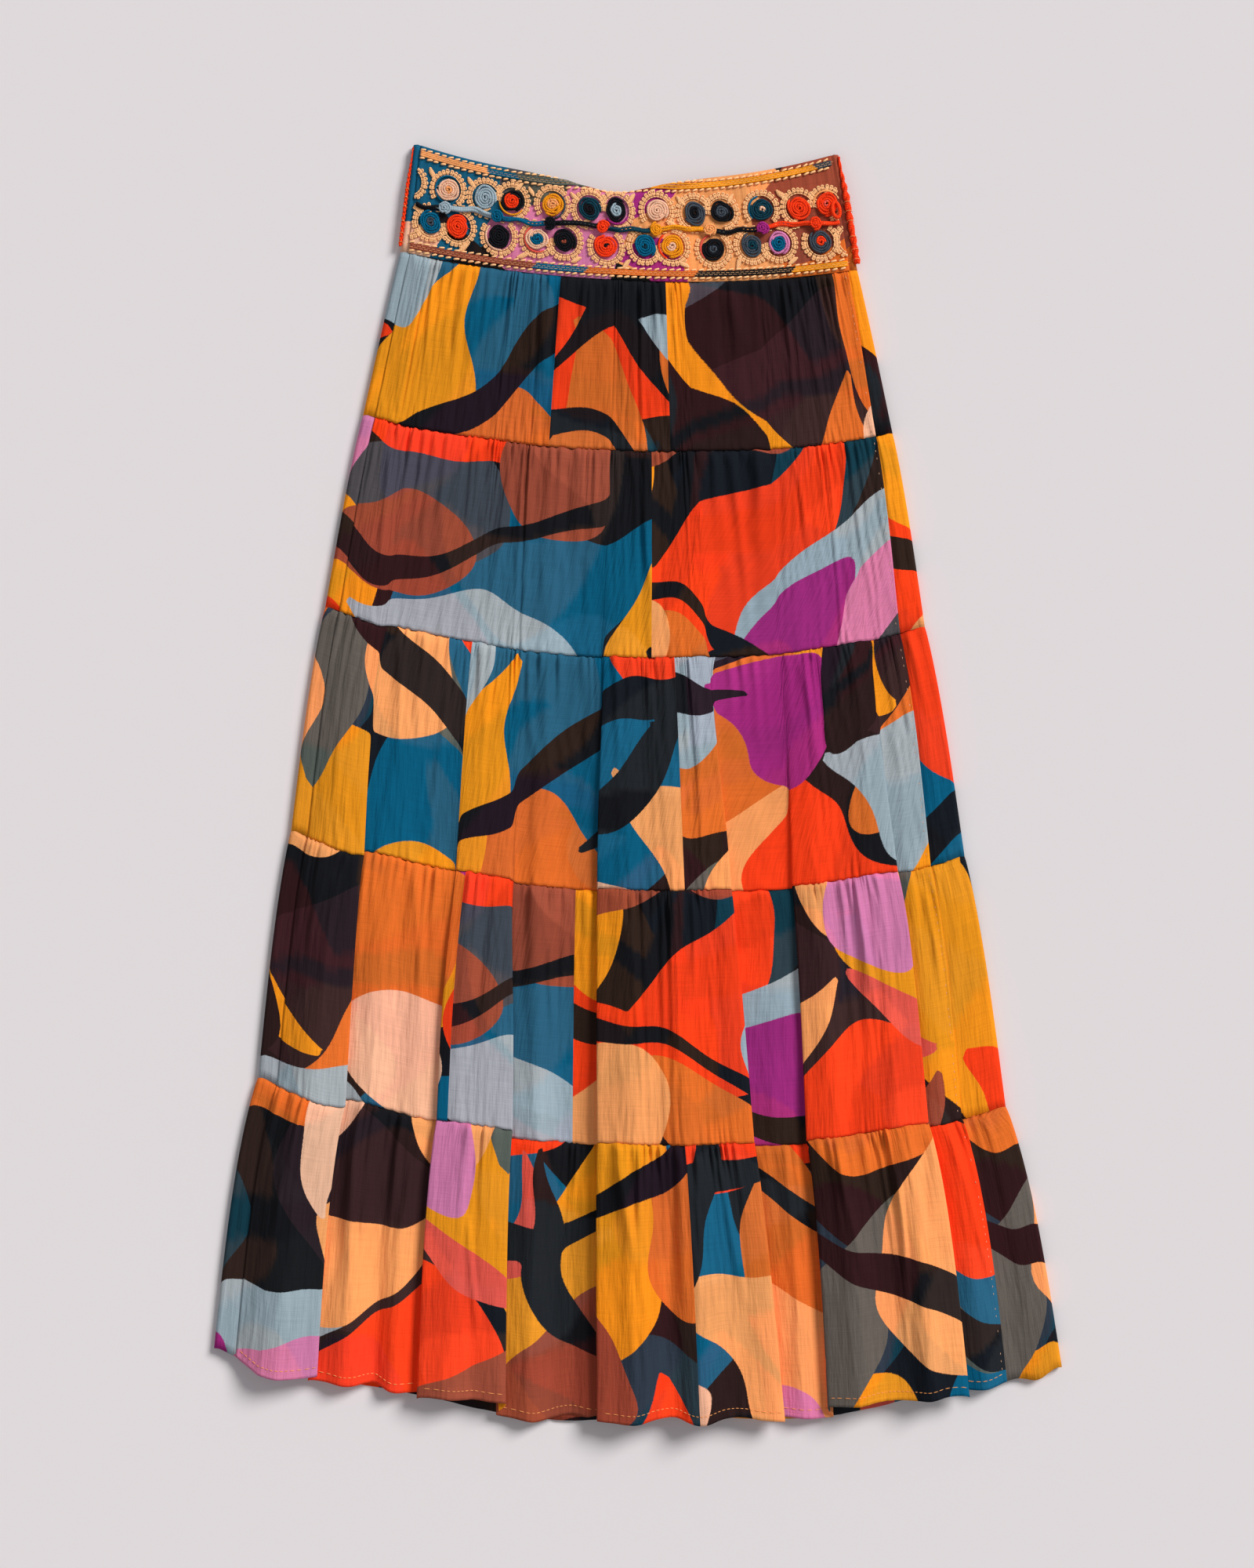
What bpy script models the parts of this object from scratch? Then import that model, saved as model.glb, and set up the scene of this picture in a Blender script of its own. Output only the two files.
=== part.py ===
"""A long tiered skirt laid flat: an embroidered waistband and five gathered tiers.

Metres, +Z up. The skirt lies on its back on the plane z = 0, waist towards +Y. Every
tier is a tube pressed flat: its back lies on the plane and turns up round both side
folds, and its front lies over it from side seam to side seam.
A place on a tier is given by its share across the front (0 at the left side fold and
1 at the right one) and by its depth (0 at the waist edge, 1 at the waist seam, and one
more for each tier down to 6 at the hem).
"""

import math
from collections import namedtuple

import bmesh
import bpy
import numpy as np

# Driving dimensions, in metres.
CLOTH = 0.0012  # wall of the cloth
LAYER_GAP = 0.0055  # clear height between back and front
SEAM_GAP = 0.0003  # between pieces that are sewn together
SIDE_RADIUS = CLOTH + LAYER_GAP / 2  # outside of a side fold
FOLD_LINE = 0.46  # share across where a level's middle height is measured

# The seams and edges across the front, from the waist edge to the hem.
Level = namedtuple("Level", "name left_x left_y middle_y right_x right_y")
LEVELS = [
    Level("waist_edge", -0.1780, 0.5050, 0.4760, 0.1590, 0.4970),
    Level("waist_seam", -0.1885, 0.4200, 0.3970, 0.1740, 0.4055),
    Level("seam_1", -0.2180, 0.2910, 0.2635, 0.2020, 0.2765),
    Level("seam_2", -0.2480, 0.1390, 0.1000, 0.2275, 0.1235),
    Level("seam_3", -0.2750, -0.0380, -0.0840, 0.2590, -0.0580),
    Level("seam_4", -0.3010, -0.2330, -0.2845, 0.2915, -0.2560),
    Level("hem", -0.3360, -0.4470, -0.5020, 0.3360, -0.4620),
]
HEM_DEPTH = len(LEVELS) - 1
TIER_ROWS = 5  # rows of points down a tier

# How each piece of the skirt is filled: how far its sides puff out, and how many gathers its
# front shows.
Tier = namedtuple("Tier", "puff gathers gather_height")
TIERS = [
    Tier(0.0, 0, 0.0),
    Tier(0.0005, 18, 0.0011),
    Tier(0.0015, 19, 0.0013),
    Tier(0.0025, 20, 0.0014),
    Tier(0.0030, 21, 0.0016),
    Tier(0.0055, 22, 0.0020),
]

# Raised folds down the front. An edge's share drifts from its waist value to its hem value.
# A lap of 1 hangs over the cloth beside it, and 0 is a soft slope. A drop is how far the cloth
# inside the fold hangs below the cloth outside it.
Fold = namedtuple(
    "Fold",
    "name left_waist left_hem right_waist right_hem starts height left_lap right_lap left_drop right_drop",
)
FOLDS = [
    Fold("left_strip", 0.030, 0.034, 0.075, 0.113, 1.6, 0.0100, 0.0, 1.0, 0.000, 0.009),
    Fold("left_fold", 0.240, 0.243, 0.310, 0.337, 2.6, 0.0110, 1.0, 1.0, 0.004, -0.004),
    Fold("centre_fold", 0.468, 0.457, 0.610, 0.670, 1.4, 0.0130, 1.0, 0.9, 0.003, -0.003),
    Fold("right_fold", 0.790, 0.729, 0.925, 0.888, 1.8, 0.0120, 0.8, 1.0, 0.002, -0.005),
]
EDGE_SHARE = 0.0155  # half width of a fold's edge, as a share of the front
EDGE_STEEPNESS = 1.3
SOFT_EDGE = 1.3  # a soft edge is this many times wider
LAP = 2.2  # how far a full lap turns back
LAP_STARTS, LAP_GROWS = 0.002, 0.0055  # fold height at which a lap starts, and over which it grows
DROP_REACH = 0.085  # share over which a drop dies away
DROP_STEP = 0.16  # how much of that reach the step of a drop takes
SIDE_FADE = 0.03  # share over which relief dies away at the side folds

# Gathers: ripples whose spacing wanders and whose height is uneven across the front.
GATHER_CLEAR = 2.2  # they keep this many half widths off a lapped edge
GATHER_WANDER, WANDER_WAVES, WANDER_SHIFT = 0.006, 4.3, 0.37
UNEVEN_LEAST, UNEVEN_MOST, UNEVEN_WAVES, UNEVEN_SHIFT = 0.40, 1.0, 3.1, 0.21
GATHER_FADE = 2.0  # how fast they die away down a tier
SEAM_SHARE, SEAM_FLATTEN = 0.05, 0.45  # the seam itself holds them flatter

# Where a front's points lie: evenly spread, and these many half widths off each lapped edge.
EVEN_COLUMNS = 64
EDGE_COLUMNS = (-1.4, -0.75, -0.25, 0.25, 0.75, 1.4)
COLUMN_CLEAR = 0.55  # half widths between an even column and one of an edge
LAST_INSIDE = 0.93  # past this share the columns run evenly to the side seam
ROW_CROWDING = 1.25  # the rows of a tier crowd under its seam
SIDE_COLUMNS = (3, 4)  # from a side seam to the columns inside, left and right
LEAST_SQUARE = 0.05  # limits how far a seam's gap opens where the cloth runs steeply

# Where the side seams lie on the front, measured in from the side folds.
LEFT_INSET_WAIST, LEFT_INSET_HEM = 0.005, 0.014
RIGHT_INSET_WAIST, RIGHT_INSET_HEM = 0.006, 0.040
BAND_INSET = 0.0025
BACK_LONGER = 0.005  # the back's hem shows this far below the front's
LONGER_LEAST, LONGER_WAVE = 0.35, 0.65  # in shares of that: its level and its waves
LONGER_WAVES, LONGER_SHIFT = 3.0, 0.1
BACK_WRAP_POINTS, BACK_FOLD_POINTS, BACK_FLOOR_POINTS = (3, 4), 6, 11

# The waistband's edge rolls over to the inside at the middle of the front.
BAND_RISE = 0.0105  # how far the middle of the band arches up
BAND_ARCH = 0.27  # half width of the arch, as a share of the front
BAND_MIDDLE = 0.475
ROLL_LEAST, ROLL_MOST = 0.0015, 0.0145
ROLL_SHARE = 0.15
ROLL_RADIUS = 0.0032
ROLL_TURN = math.radians(176)
BACK_BELOW_ROLL = 0.0012

# Braid along both edges of the band.
BRAID_EDGE = 0.0028  # from the band's edge
BRAID_WIDTH = 0.0062
BRAID_HEIGHT = 0.0013
BRAID_RIBS = (0.7, 1.0, 0.65, 1.0, 0.7)  # heights across a braid, as shares of its own
BRAID_ROWS = 5  # rows of the band's points under the upper braid

# The front waistband's points: shares across, and rows from the waist edge down past the roll.
BAND_SHARES = np.linspace(0.0078, 0.9922, 31)
ROLL_ROWS = (0.0108, 0.0128, 0.0152)
FREE_ROWS = 4  # between the braids

# Coiled rosettes in clusters along a couched vine.
CLUSTERS = 8
FIRST_CLUSTER, LAST_CLUSTER = 0.078, 0.932
VINE_HEIGHT = 0.0405  # above the waist seam
VINE_SWAY = 0.0016
VINE_WIDTH, VINE_THICK = 0.0034, 0.0019
VINE_FROM, VINE_TO, VINE_SECTIONS = 0.014, 0.986, 36
VINE_SECTION = [(-0.5, 0), (0.5, 0), (0.5, 0.55), (0.22, 1.0), (-0.22, 1.0), (-0.5, 0.55)]
Rosette = namedtuple("Rosette", "cluster along above radius")
ROSETTES = [
    Rosette("even", 0.0015, 0.0150, 0.0093),
    Rosette("even", -0.0100, -0.0132, 0.0091),
    Rosette("even", 0.0122, -0.0128, 0.0094),
    Rosette("odd", -0.0112, 0.0136, 0.0097),
    Rosette("odd", 0.0116, 0.0140, 0.0093),
    Rosette("odd", 0.0024, -0.0148, 0.0094),
]
ROSETTE_HEIGHT, ROSETTE_SEGMENTS = 0.0023, 10
HUB_RADIUS, HUB_HEIGHT, HUB_SEGMENTS = 0.0060, 0.0018, 8
# Turned profiles, as shares of the radius and of the height.
ROSETTE_PROFILE = [(1.0, 0.0), (1.0, 0.55), (0.60, 1.0), (0.0, 0.86)]
HUB_PROFILE = [(1.0, 0.0), (1.0, 0.55), (0.55, 1.0), (0.0, 0.85)]
ROSETTE_COLOURS = ("teal", "red", "peach", "slate", "orange")

# Twisted cords over the band's side seams.
SideCord = namedtuple("SideCord", "name side radius angle twists")
SIDE_CORDS = [
    SideCord("side_cord_left", -1, 0.0015, 25, 5),
    SideCord("side_cord_right", 1, 0.0026, 38, 5),
]
SIDE_CORD_FROM, SIDE_CORD_TO = 0.02, 0.93  # of the way from the waist edge to the seam
SIDE_CORD_SECTIONS, SIDE_CORD_SEGMENTS = 22, 8
PLY_RELIEF = 0.22  # how far the two plies stand out of a round section, as a share of its radius

# Plain colours and the finish of cotton.
ROUGHNESS = 0.85
SHARP_ANGLE = math.radians(50)
COLOURS = {
    "orange": (0.86, 0.33, 0.06),
    "teal": (0.02, 0.16, 0.24),
    "slate": (0.10, 0.12, 0.15),
    "rust": (0.42, 0.11, 0.05),
    "red": (0.83, 0.09, 0.02),
    "pink": (0.66, 0.25, 0.44),
    "peach": (0.90, 0.50, 0.28),
}
TIER_COLOURS = ["pink", "slate", "teal", "slate", "rust", "orange"]


def smooth(x):
    """Rises from 0 to 1 with flat ends."""
    x = np.clip(x, 0.0, 1.0)
    return x * x * (3.0 - 2.0 * x)


def mix(a, b, t):
    return a + (b - a) * t


def level_y(level, share):
    """Height of a level at a share across: the parabola through its left, middle and right."""
    m = FOLD_LINE
    left = (share - m) * (share - 1.0) / m
    middle = share * (share - 1.0) / (m * (m - 1.0))
    right = share * (share - m) / (1.0 - m)
    return left * level.left_y + middle * level.middle_y + right * level.right_y


def sides(tier, t):
    """The x of both side folds, t of the way down a tier. The puff is a half wave, high up."""
    above, below = LEVELS[tier], LEVELS[tier + 1]
    puff = TIERS[tier].puff * math.sin(math.pi * t**0.7)
    left = mix(above.left_x, below.left_x, t) - puff
    right = mix(above.right_x, below.right_x, t) + puff
    return left, right


def seam_shares(tier, t):
    """The shares across at which the left and right side seams lie."""
    left, right = sides(tier, t)
    width = right - left - 2 * SIDE_RADIUS
    down = (tier + t - 1.0) / (HEM_DEPTH - 1.0)
    if tier == 0:
        return BAND_INSET / width, 1.0 - BAND_INSET / width
    left_inset = mix(LEFT_INSET_WAIST, LEFT_INSET_HEM, down)
    right_inset = mix(RIGHT_INSET_WAIST, RIGHT_INSET_HEM, down)
    return left_inset / width, 1.0 - right_inset / width


def drift(share, depth):
    """How far the cloth at a share of the hem has moved sideways at this depth."""
    at = [0.0]
    moved = [0.0]
    for f in FOLDS:
        at += [f.left_hem, f.right_hem]
        moved += [f.left_waist - f.left_hem, f.right_waist - f.right_hem]
    return np.interp(share, at + [1.0], moved + [0.0]) * (1.0 - depth / HEM_DEPTH)


def side_fade(share):
    return smooth(share / SIDE_FADE) * smooth((1.0 - share) / SIDE_FADE)


def band_arch(share):
    return BAND_RISE * np.exp(-(((share - BAND_MIDDLE) / BAND_ARCH) ** 2)) * side_fade(share)


def folds(share, depth, width):
    """The sideways turn, the drop and the height that the raised folds give the cloth.

    Each edge is a smooth step in height, and a lap adds a sideways S, the share times a bell,
    that carries the cloth back under itself."""
    turn, drop, height = np.zeros_like(share), np.zeros_like(share), np.zeros_like(share)
    for f in FOLDS:
        grown = smooth((depth - f.starts) / (HEM_DEPTH - f.starts))
        tall = f.height * grown
        turns_back = LAP * smooth((tall - LAP_STARTS) / LAP_GROWS)
        for at, lap, sign, fall in (
            (f.left_hem, f.left_lap, 1.0, f.left_drop),
            (f.right_hem, f.right_lap, -1.0, f.right_drop),
        ):
            half = EDGE_SHARE * mix(SOFT_EDGE, 1.0, min(lap, 1.0))
            away = (share - at) / half
            height = height + sign * tall * 0.5 * (1.0 + np.tanh(EDGE_STEEPNESS * away))
            turn = turn - lap * turns_back * half * width * away * np.exp(-(away**2))
            reach = (share - at) / DROP_REACH
            drop = drop + grown * fall * np.tanh(reach / DROP_STEP) * np.exp(-np.abs(reach))
    fade = side_fade(share)
    return turn * fade, drop * fade, height * fade


def lapped_edges():
    """Shares at the hem of the fold edges that hang over."""
    left = [f.left_hem for f in FOLDS if f.left_lap]
    return left + [f.right_hem for f in FOLDS if f.right_lap]


def off_fold_edges(share):
    """0 on the lapped edges of the folds and 1 away from them, where gathers may show."""
    clear = np.ones_like(share)
    for at in lapped_edges():
        clear = clear * (1.0 - np.exp(-(((share - at) / (GATHER_CLEAR * EDGE_SHARE)) ** 4)))
    return clear


def gathers(tier, t, share):
    """Ripples under a seam: raised cosines of uneven height, strongest just below the seam."""
    kind = TIERS[tier]
    wander = GATHER_WANDER * np.sin(2 * math.pi * (WANDER_WAVES * share + WANDER_SHIFT * tier))
    ripple = 0.5 + 0.5 * np.cos(2 * math.pi * kind.gathers * (share + wander))
    wave = 0.5 + 0.5 * np.sin(2 * math.pi * (UNEVEN_WAVES * share + UNEVEN_SHIFT * tier))
    uneven = mix(UNEVEN_LEAST, UNEVEN_MOST, wave)
    strength = math.exp(-GATHER_FADE * t) * (1.0 - SEAM_FLATTEN * math.exp(-t / SEAM_SHARE))
    place = off_fold_edges(share) * side_fade(share)
    return kind.gather_height * strength * ripple * uneven * place


def front_section(tier, t, share):
    """Inner side of the front, t of the way down a tier, as x, y, z for each share across."""
    above, below = LEVELS[tier], LEVELS[tier + 1]
    depth = tier + t
    left, right = sides(tier, t)
    width = right - left - 2 * SIDE_RADIUS
    turn, drop, height = folds(share, depth, width)
    x = left + SIDE_RADIUS + width * (share + drift(share, depth)) + turn
    y = mix(level_y(above, share), level_y(below, share), t) + drop
    arch = band_arch(share) * (1.0 - smooth((depth - 1.0) / 1.1))
    z = CLOTH + LAYER_GAP + arch + height + gathers(tier, t, share)
    return np.stack([x, y, z], axis=-1)


def band_height(share):
    """Height of the waistband from its seam to its edge, at a share across."""
    edge, seam = LEVELS[0], LEVELS[1]
    dx = mix(edge.left_x, edge.right_x, share) - mix(seam.left_x, seam.right_x, share)
    dy = level_y(edge, share) - level_y(seam, share)
    return np.hypot(dx, dy)


def roll_bell(share):
    return np.exp(-(((share - BAND_MIDDLE) / ROLL_SHARE) ** 2))


def roll(share):
    """How much of the band's edge rolls over."""
    return mix(ROLL_LEAST, ROLL_MOST, roll_bell(share))


def back_edge_y(share):
    """The back's waist edge stays out of sight below the rolled edge of the front."""
    hidden = BACK_BELOW_ROLL + (ROLL_MOST - ROLL_RADIUS) * roll_bell(share)
    return level_y(LEVELS[0], share) - hidden


def band_point(share, up):
    """Inner side of the front waistband, up metres above its seam: straight, and then round an
    arc of the roll's radius towards the inside."""
    edge, seam = LEVELS[0], LEVELS[1]
    seam_x = seam.left_x + SIDE_RADIUS + (seam.right_x - seam.left_x - 2 * SIDE_RADIUS) * share
    edge_x = edge.left_x + SIDE_RADIUS + (edge.right_x - edge.left_x - 2 * SIDE_RADIUS) * share
    dx, dy = edge_x - seam_x, level_y(edge, share) - level_y(seam, share)
    tall = np.hypot(dx, dy)
    straight = np.minimum(up, band_height(share) - roll(share))
    beyond = up - straight
    angle = np.minimum(beyond / ROLL_RADIUS, ROLL_TURN)
    rest = beyond - ROLL_RADIUS * angle
    along = straight + ROLL_RADIUS * np.sin(angle) + rest * np.cos(angle)
    down = ROLL_RADIUS * (1.0 - np.cos(angle)) + rest * np.sin(angle)
    x = seam_x + dx / tall * along
    y = level_y(seam, share) + dy / tall * along
    z = CLOTH + LAYER_GAP + band_arch(share) - down
    return np.stack([x, y, z], axis=-1)


def band_normal(share, up):
    """Outward direction of the front waistband, from small steps across and up it."""
    step = 1e-4
    across = band_point(share + step, up) - band_point(share - step, up)
    rise = band_point(share, up + step) - band_point(share, up - step)
    normal = np.cross(across, rise)
    return normal / np.linalg.norm(normal, axis=-1, keepdims=True)


def on_band(share, up, lift):
    """A point lift metres off the outer face of the front waistband."""
    share, up, lift = np.broadcast_arrays(share, up, lift)
    return band_point(share, up) + band_normal(share, up) * (CLOTH + lift)[..., None]


def outer_of(inner):
    """The outer side of sections of cloth: each point moved out by the wall, square to its
    section. The cut edges at all the seams stay upright."""
    along = np.gradient(inner, axis=1)
    out = np.stack([-along[..., 2], np.zeros(along.shape[:2]), along[..., 0]], axis=-1)
    out[:, (0, -1)] = (0.0, 0.0, 1.0)
    return inner + CLOTH * out / np.linalg.norm(out, axis=-1, keepdims=True)


def finish(name, mesh, colour):
    """Turns a bmesh into a named object with its material, its faces pointing out."""
    bmesh.ops.recalc_face_normals(mesh, faces=mesh.faces)
    data = bpy.data.meshes.new(name)
    mesh.to_mesh(data)
    mesh.free()
    data.shade_smooth()
    data.set_sharp_from_angle(angle=SHARP_ANGLE)
    obj = bpy.data.objects.new(name, data)
    material = bpy.data.materials.get(colour) or bpy.data.materials.new(colour)
    material.use_nodes = True
    shader = material.node_tree.nodes["Principled BSDF"]
    shader.inputs["Base Color"].default_value = (*COLOURS[colour], 1.0)
    shader.inputs["Roughness"].default_value = ROUGHNESS
    data.materials.append(material)
    skirt.objects.link(obj)
    return obj


def grid_vertices(mesh, points):
    """Adds a grid of points to the mesh and returns its vertices as rows, without faces."""
    rows, columns = points.shape[:2]
    flat = [mesh.verts.new(p) for p in points.reshape(-1, 3)]
    return [flat[r * columns : (r + 1) * columns] for r in range(rows)]


def make_wall(name, inner, outer, colour):
    """A wall of cloth between two grids of points of the same size, closed along its rims."""
    mesh = bmesh.new()
    a, b = grid_vertices(mesh, inner), grid_vertices(mesh, outer)
    rows, columns = len(a), len(a[0])
    for r in range(rows - 1):
        for c in range(columns - 1):
            for side in (a, b):
                mesh.faces.new((side[r][c], side[r][c + 1], side[r + 1][c + 1], side[r + 1][c]))
    for c in range(columns - 1):
        for r in (0, rows - 1):
            mesh.faces.new((a[r][c], a[r][c + 1], b[r][c + 1], b[r][c]))
    for r in range(rows - 1):
        for c in (0, columns - 1):
            mesh.faces.new((a[r][c], a[r + 1][c], b[r + 1][c], b[r][c]))
    return finish(name, mesh, colour)


def make_loft(name, sections, colour):
    """A solid through closed sections of the same number of points, capped at both ends."""
    mesh = bmesh.new()
    rings = grid_vertices(mesh, sections)
    count = len(rings[0])
    for low, high in zip(rings, rings[1:]):
        for c in range(count):
            n = (c + 1) % count
            mesh.faces.new((low[c], low[n], high[n], high[c]))
    mesh.faces.new(rings[0])
    mesh.faces.new(rings[-1])
    return finish(name, mesh, colour)


def make_dome(name, rings, top, colour):
    """A turned solid through rings of points, flat below and closed at a top point."""
    mesh = bmesh.new()
    made = grid_vertices(mesh, rings)
    peak = mesh.verts.new(top)
    count = len(made[0])
    for low, high in zip(made, made[1:]):
        for c in range(count):
            n = (c + 1) % count
            mesh.faces.new((low[c], low[n], high[n], high[c]))
    for c in range(count):
        mesh.faces.new((made[-1][c], made[-1][(c + 1) % count], peak))
    mesh.faces.new(made[0])
    return finish(name, mesh, colour)


def front_columns():
    """Shares across the front: evenly spread, and closer together at the edges of the folds."""
    even = np.linspace(0.0, 1.0, EVEN_COLUMNS)
    near = [0.0]
    for at in lapped_edges():
        near += [at + EDGE_SHARE * away for away in EDGE_COLUMNS]
    near = np.array(near)
    clear = [s for s in even if np.abs(near - s).min() > COLUMN_CLEAR * EDGE_SHARE]
    return np.unique(np.concatenate([near, clear]))


def tier_rows():
    """Shares of the way down a tier, closer together under the seam, where the gathers are."""
    return np.linspace(0.0, 1.0, TIER_ROWS) ** ROW_CROWDING


def part_seams(section, tier, t):
    """Moves a section that is sewn to the next piece away from it, further where it slants, so
    that the seam keeps its gap square to the cut edge."""
    along = np.gradient(section, axis=0)
    slant = along[:, 1] / np.linalg.norm(along, axis=1)
    room = SEAM_GAP / 2 / np.sqrt(np.maximum(1.0 - slant**2, LEAST_SQUARE))
    if t == 0.0 and tier > 0:
        section[:, 1] -= room
    if t == 1.0 and tier < HEM_DEPTH - 1:
        section[:, 1] += room
    return section


def make_tier_front(tier):
    """The front of a tier, from its left side seam to its right one."""
    columns, sections = front_columns(), []
    for t in tier_rows():
        left, right = seam_shares(tier, t)
        width = sides(tier, t)[1] - sides(tier, t)[0] - 2 * SIDE_RADIUS
        left, right = left + SEAM_GAP / 2 / width, right - SEAM_GAP / 2 / width
        inside = columns[(columns > SIDE_FADE) & (columns < LAST_INSIDE)]
        first = np.linspace(left, inside[0], SIDE_COLUMNS[0])[:-1]
        last = np.linspace(inside[-1], right, SIDE_COLUMNS[1])[1:]
        share = np.concatenate([first, inside, last])
        sections.append(part_seams(front_section(tier, t, share), tier, t))
    inner = np.array(sections)
    return make_wall(f"tier_{tier}_front", inner, outer_of(inner), TIER_COLOURS[tier])


def back_section(tier, t, longer):
    """Inner side of the back: from the left side seam round the left fold, along the floor and
    round the right fold to the right side seam."""
    left, right = sides(tier, t)
    seam_left, seam_right = seam_shares(tier, t)
    width = right - left - 2 * SIDE_RADIUS
    gap = SEAM_GAP / 2 / width
    inside = SIDE_RADIUS - CLOTH
    turn = np.linspace(0.5 * math.pi, 1.5 * math.pi, BACK_FOLD_POINTS)
    above, below = LEVELS[tier], LEVELS[tier + 1]

    def wrap(share):
        if tier:
            return front_section(tier, t, share)
        x = left + SIDE_RADIUS + width * share
        y = mix(level_y(above, share), level_y(below, share), t)
        return np.stack([x, y, np.full_like(x, CLOTH + LAYER_GAP)], axis=-1)

    def fold(centre_x, share, sign):
        y = mix(level_y(above, share), level_y(below, share), t)
        x = centre_x + sign * inside * np.cos(turn)
        return np.stack([x, np.full_like(x, y), SIDE_RADIUS + inside * np.sin(turn)], axis=-1)

    lead = wrap(np.linspace(seam_left - gap, 0.0, BACK_WRAP_POINTS[0])[:-1])
    trail = wrap(np.linspace(1.0, seam_right + gap, BACK_WRAP_POINTS[1])[1:])
    share = np.linspace(0.0, 1.0, BACK_FLOOR_POINTS)[1:-1]
    x = left + SIDE_RADIUS + width * share
    start_y = level_y(above, share) if tier else back_edge_y(share)
    y = mix(start_y, level_y(below, share), t)
    wave = np.sin(2 * math.pi * (LONGER_WAVES * share + LONGER_SHIFT))
    longer_here = LONGER_LEAST + LONGER_WAVE * wave
    y = y - longer * longer_here * smooth(4 * share) * smooth(4 - 4 * share)
    floor = np.stack([x, y, np.full_like(x, CLOTH)], axis=-1)
    left_fold = fold(left + SIDE_RADIUS, 0.0, 1.0)
    right_fold = fold(right - SIDE_RADIUS, 1.0, -1.0)[::-1]
    return np.concatenate([lead, left_fold, floor, right_fold, trail])


def make_back(tier):
    """The back of a tier or of the waistband. Its underside is flat on the floor."""
    sections = []
    for t in tier_rows():
        longer = BACK_LONGER if tier == HEM_DEPTH - 1 and t == 1.0 else 0.0
        sections.append(part_seams(back_section(tier, t, longer), tier, t))
    inner = np.array(sections)
    # The section runs backwards along the floor, so its outer side is the other one.
    outer = inner[:, ::-1]
    outer = outer_of(outer)[:, ::-1]
    name = f"tier_{tier}_back" if tier else "waistband_back"
    return make_wall(name, inner, outer, TIER_COLOURS[tier])


def band_rows(share):
    """Heights above the seam of the band's rows of points, for each share across. Both braids
    lie between rows, and the rows past the upper one follow the roll down from the waist edge."""
    tall = band_height(share)
    top = BRAID_EDGE + BRAID_WIDTH
    from_edge = np.concatenate([[0.0], np.linspace(BRAID_EDGE, top, BRAID_ROWS), ROLL_ROWS])
    near_seam = [SEAM_GAP / 2, BRAID_EDGE, mix(BRAID_EDGE, top, 0.5), top]
    free = np.linspace(top, tall - ROLL_ROWS[-1], FREE_ROWS)[1:-1]
    rows = [np.full_like(share, up) for up in near_seam]
    rows += list(free)
    rows += [tall - down for down in from_edge[::-1]]
    return np.array(rows)


def make_band_front():
    """The front waistband, from side seam to side seam, rolled over along its edge."""
    up = band_rows(BAND_SHARES)
    across = np.broadcast_to(BAND_SHARES, up.shape)
    inner = band_point(across, up)
    normal = band_normal(across, up)
    normal[0, :, 1] = 0.0
    normal[0] /= np.linalg.norm(normal[0], axis=-1, keepdims=True)
    return make_wall("waistband_front", inner, inner + CLOTH * normal, TIER_COLOURS[0])


def make_braid(name, rows):
    """A flat braid with two ribs, laid between rows of the band's own points and moved out."""
    share = BAND_SHARES
    up = band_rows(share)[rows]
    across = np.broadcast_to(share, up.shape)
    under = on_band(across, up, np.full(up.shape, SEAM_GAP))
    place = np.linspace(0.0, 1.0, len(BRAID_RIBS))
    over = []
    for at, high in zip(place, BRAID_RIBS):
        over.append(on_band(share, mix(up[0], up[-1], at), SEAM_GAP + BRAID_HEIGHT * high))
    ring = np.concatenate([under, np.array(over)[::-1]])
    return make_loft(name, ring.swapaxes(0, 1), "rust")


def cluster_share(i):
    return mix(FIRST_CLUSTER, LAST_CLUSTER, i / (CLUSTERS - 1))


def vine_up(share):
    """The vine sways from side to side, once over every two clusters."""
    pitch = (LAST_CLUSTER - FIRST_CLUSTER) / (CLUSTERS - 1)
    return VINE_HEIGHT + VINE_SWAY * np.sin(math.pi * (share - FIRST_CLUSTER) / pitch)


def make_vine():
    """The couched cord that joins the clusters: a half round strip from side to side."""
    sections = []
    for s in np.linspace(VINE_FROM, VINE_TO, VINE_SECTIONS):
        ups = np.array([vine_up(s) + VINE_WIDTH * across for across, _ in VINE_SECTION])
        lifts = np.array([SEAM_GAP + VINE_THICK * high for _, high in VINE_SECTION])
        sections.append(on_band(s, ups, lifts))
    return make_loft("vine_cord", np.array(sections), "slate")


def make_rosette(name, share, up, radius, tall, base, profile, segments, colour):
    """A coil of cord on the band: rings of a turned profile laid on the band's own points."""
    width = LEVELS[1].right_x - LEVELS[1].left_x
    round_it = 2 * math.pi * np.arange(segments) / segments
    rings = []
    for size, lift in profile[:-1]:
        rings.append(
            on_band(
                share + radius * size * np.cos(round_it) / width,
                up + radius * size * np.sin(round_it),
                base + tall * lift,
            )
        )
    peak = on_band(share, up, base + tall * profile[-1][1])
    return make_dome(name, np.array(rings), peak, colour)


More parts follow.
